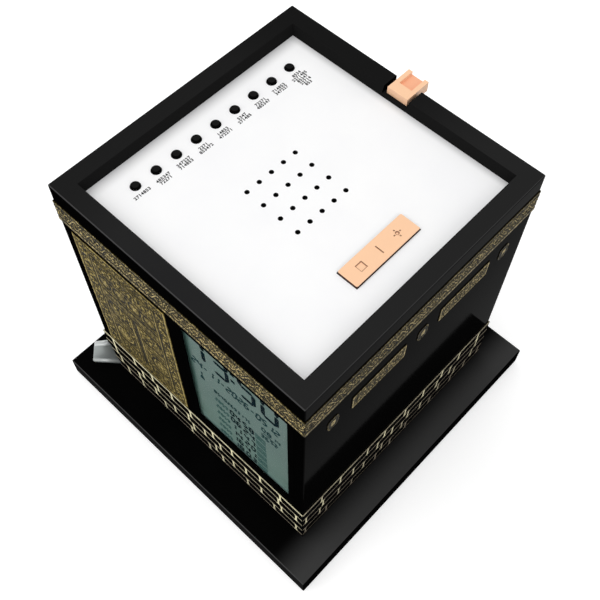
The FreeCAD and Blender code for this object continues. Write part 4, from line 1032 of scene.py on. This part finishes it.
def build_labels():
    """Small plain numbers beside each button, in rows that read along the button row."""
    digits = "2714853472"
    beside, before, lift = 3.2, 0.4, 0.01       # from the middle of a button to its label
    for index, rows in enumerate(LABEL_COUNTS):
        lines = ["".join(digits[(index * 3 + row * 5 + step) % len(digits)] for step in range(count))
                 for row, count in enumerate(rows)]
        text = bpy.data.curves.new(f"label_{index + 1}", "FONT")
        text.body = "\n".join(lines)
        text.size = 1.8 * MM
        text.extrude = 0.02 * MM
        text.offset = 0.06 * MM
        text.space_character = 1.16
        text.space_line = 0.86
        text.align_x = "CENTER"
        text.align_y = "TOP"
        label = shown(f"label_{index + 1}", text)
        label.rotation_euler = (0, 0, math.radians(90))
        button = f"button_{index + 1}"
        label.location = Vector((middle_of(button, "X") + beside, middle_of(button, "Y") - before,
                                 PANEL_TOP + lift)) * MM
        bpy.context.view_layer.update()
        settle(label, print_black)


def build_key_marks():
    """Paint in the sunk signs of the wide key: a stop square, a stroke and a lamp with rays."""
    mark, line, spacing = 3.56, 0.6, 9.0
    depth, inset, paint = 0.3, 0.05, 0.06
    key_x, key_y = middle_of("wide_key", "X"), middle_of("wide_key", "Y")
    sunk = span("wide_key", "Z")[1] - depth

    def on_key(u, d, v):
        return (key_x + u, key_y + v, sunk + d)

    def box(u, v, wide, tall):
        half_u, half_v = wide / 2 - inset, tall / 2 - inset
        return prism_data(rectangle(u - half_u, v - half_v, u + half_u, v + half_v), on_key, 0.0, paint)

    def arc(first, last, inner, outer):
        corners = ((outer, first), (outer, last), (inner, last), (inner, first))
        outline = [(reach * math.cos(turn), spacing + reach * math.sin(turn)) for reach, turn in corners]
        return prism_data(outline, on_key, 0.0, paint)

    edge = (mark - line) / 2
    parts = [box(0, 0, mark * 1.2, mark * 0.16)]
    for side in (-1, 1):
        parts.append(box(edge * side, -spacing, line, mark))
        parts.append(box(0, -spacing + edge * side, mark - line * 2, line))
    step = math.pi / 8
    parts += [arc(step * index, step * (index + 1), mark * 0.12, mark * 0.24) for index in range(16)]
    for side_x, side_y in ((-1, 0), (1, 0), (0, -1), (0, 1)):
        parts.append(box(mark * 0.46 * side_x, spacing + mark * 0.46 * side_y,
                         mark * (0.16 if side_x == 0 else 0.2), mark * (0.16 if side_y == 0 else 0.2)))
    settle(gather("key_marks", parts), rose_dark, body="wide_key")


build_belt()
build_curtain()
build_cartouches()
build_skirt()
build_casing()
build_display()
build_labels()
build_key_marks()


# ---------------------------------------------------------------- floor, light, camera

def build_stage():
    """A pale floor that looks a little brighter than it is, so that the picture's ground is even."""
    mesh = bpy.data.meshes.new("floor")
    mesh.from_pydata([(-4, -4, 0), (4, -4, 0), (4, 4, 0), (-4, 4, 0)], [], [(0, 1, 2, 3)])
    floor = shown("floor", mesh)
    n = Nodes.blank("pale_floor")
    n.drift(2.0, 2.0, (1, 1, 1), (0.86, 0.86, 0.86, 1), (0.88, 0.88, 0.88, 1))
    n.set(n.shader, Roughness=0.9, Specular_IOR_Level=0.1)
    rays = n.add("ShaderNodeLightPath")
    seen = n.combine("MAXIMUM", (rays, "Is Camera Ray"), (rays, "Is Glossy Ray"))
    either = n.combine("MAXIMUM", (seen, "Value"), (rays, "Is Transmission Ray"))
    glow = n.add("ShaderNodeEmission")
    n.link(n.ranged(either, "Value", 0.0, 1.0, 0.0, 0.41), "Result", glow, "Strength")
    total = n.add("ShaderNodeAddShader")
    n.link(n.shader, "BSDF", total, 0)
    n.link(glow, "Emission", total, 1)
    n.link(total, "Shader", n.output, "Surface")
    floor.data.materials.append(n.material)


def build_light():
    """White surroundings, brighter where the camera sees them, and three soft lamps."""
    world = bpy.data.worlds.new("studio")
    bpy.context.scene.world = world
    world.use_nodes = True
    n = Nodes(world)
    backdrop = n.set(n.tree.nodes["Background"], Color=(1, 1, 1, 1))
    level = n.ranged(n.add("ShaderNodeLightPath"), "Is Camera Ray", 0.0, 1.0, 0.6, 0.96)
    n.link(level, "Result", backdrop, "Strength")
    lamps = (("top", (-0.1, -0.1, 1.1), 1.2, 4.2), ("front", (-0.5, -1.0, 0.75), 0.8, 2.4),
             ("side", (1.1, -0.35, 0.8), 0.8, 2.2))
    for name, place, size, power in lamps:
        lamp = bpy.data.lights.new(f"{name}_lamp", "AREA")
        lamp.shape = "SQUARE"
        lamp.size = size
        lamp.energy = power
        holder = shown(f"{name}_lamp", lamp)
        holder.location = place
        aim = Vector((0, 0, 0.08)) - Vector(place)
        holder.rotation_euler = aim.to_track_quat("-Z", "Y").to_euler()


def build_camera():
    """The camera of the photo, by a fit to the corners of the cube and the plinth."""
    place = Vector((127.54, -135.19, 386.29)) * MM
    ahead = Vector((-0.34115, 0.36355, -0.86686)).normalized()
    across = ahead.cross(Vector((0, 0, 1))).normalized()
    upward = across.cross(ahead).normalized()
    roll = math.radians(0.370)
    right = across * math.cos(roll) + upward * math.sin(roll)
    top = -across * math.sin(roll) + upward * math.cos(roll)
    camera = bpy.data.cameras.new("camera")
    camera.sensor_fit = "HORIZONTAL"
    camera.lens = 53.23
    camera.shift_x = 0.0025
    camera.shift_y = 0.0009
    camera.clip_start = 0.01
    holder = shown("camera", camera)
    axes = Matrix((right, top, -ahead)).transposed().to_4x4()
    holder.matrix_world = Matrix.Translation(place) @ axes
    bpy.context.scene.camera = holder


build_stage()
build_light()
build_camera()
bpy.context.scene.view_settings.view_transform = "Standard"
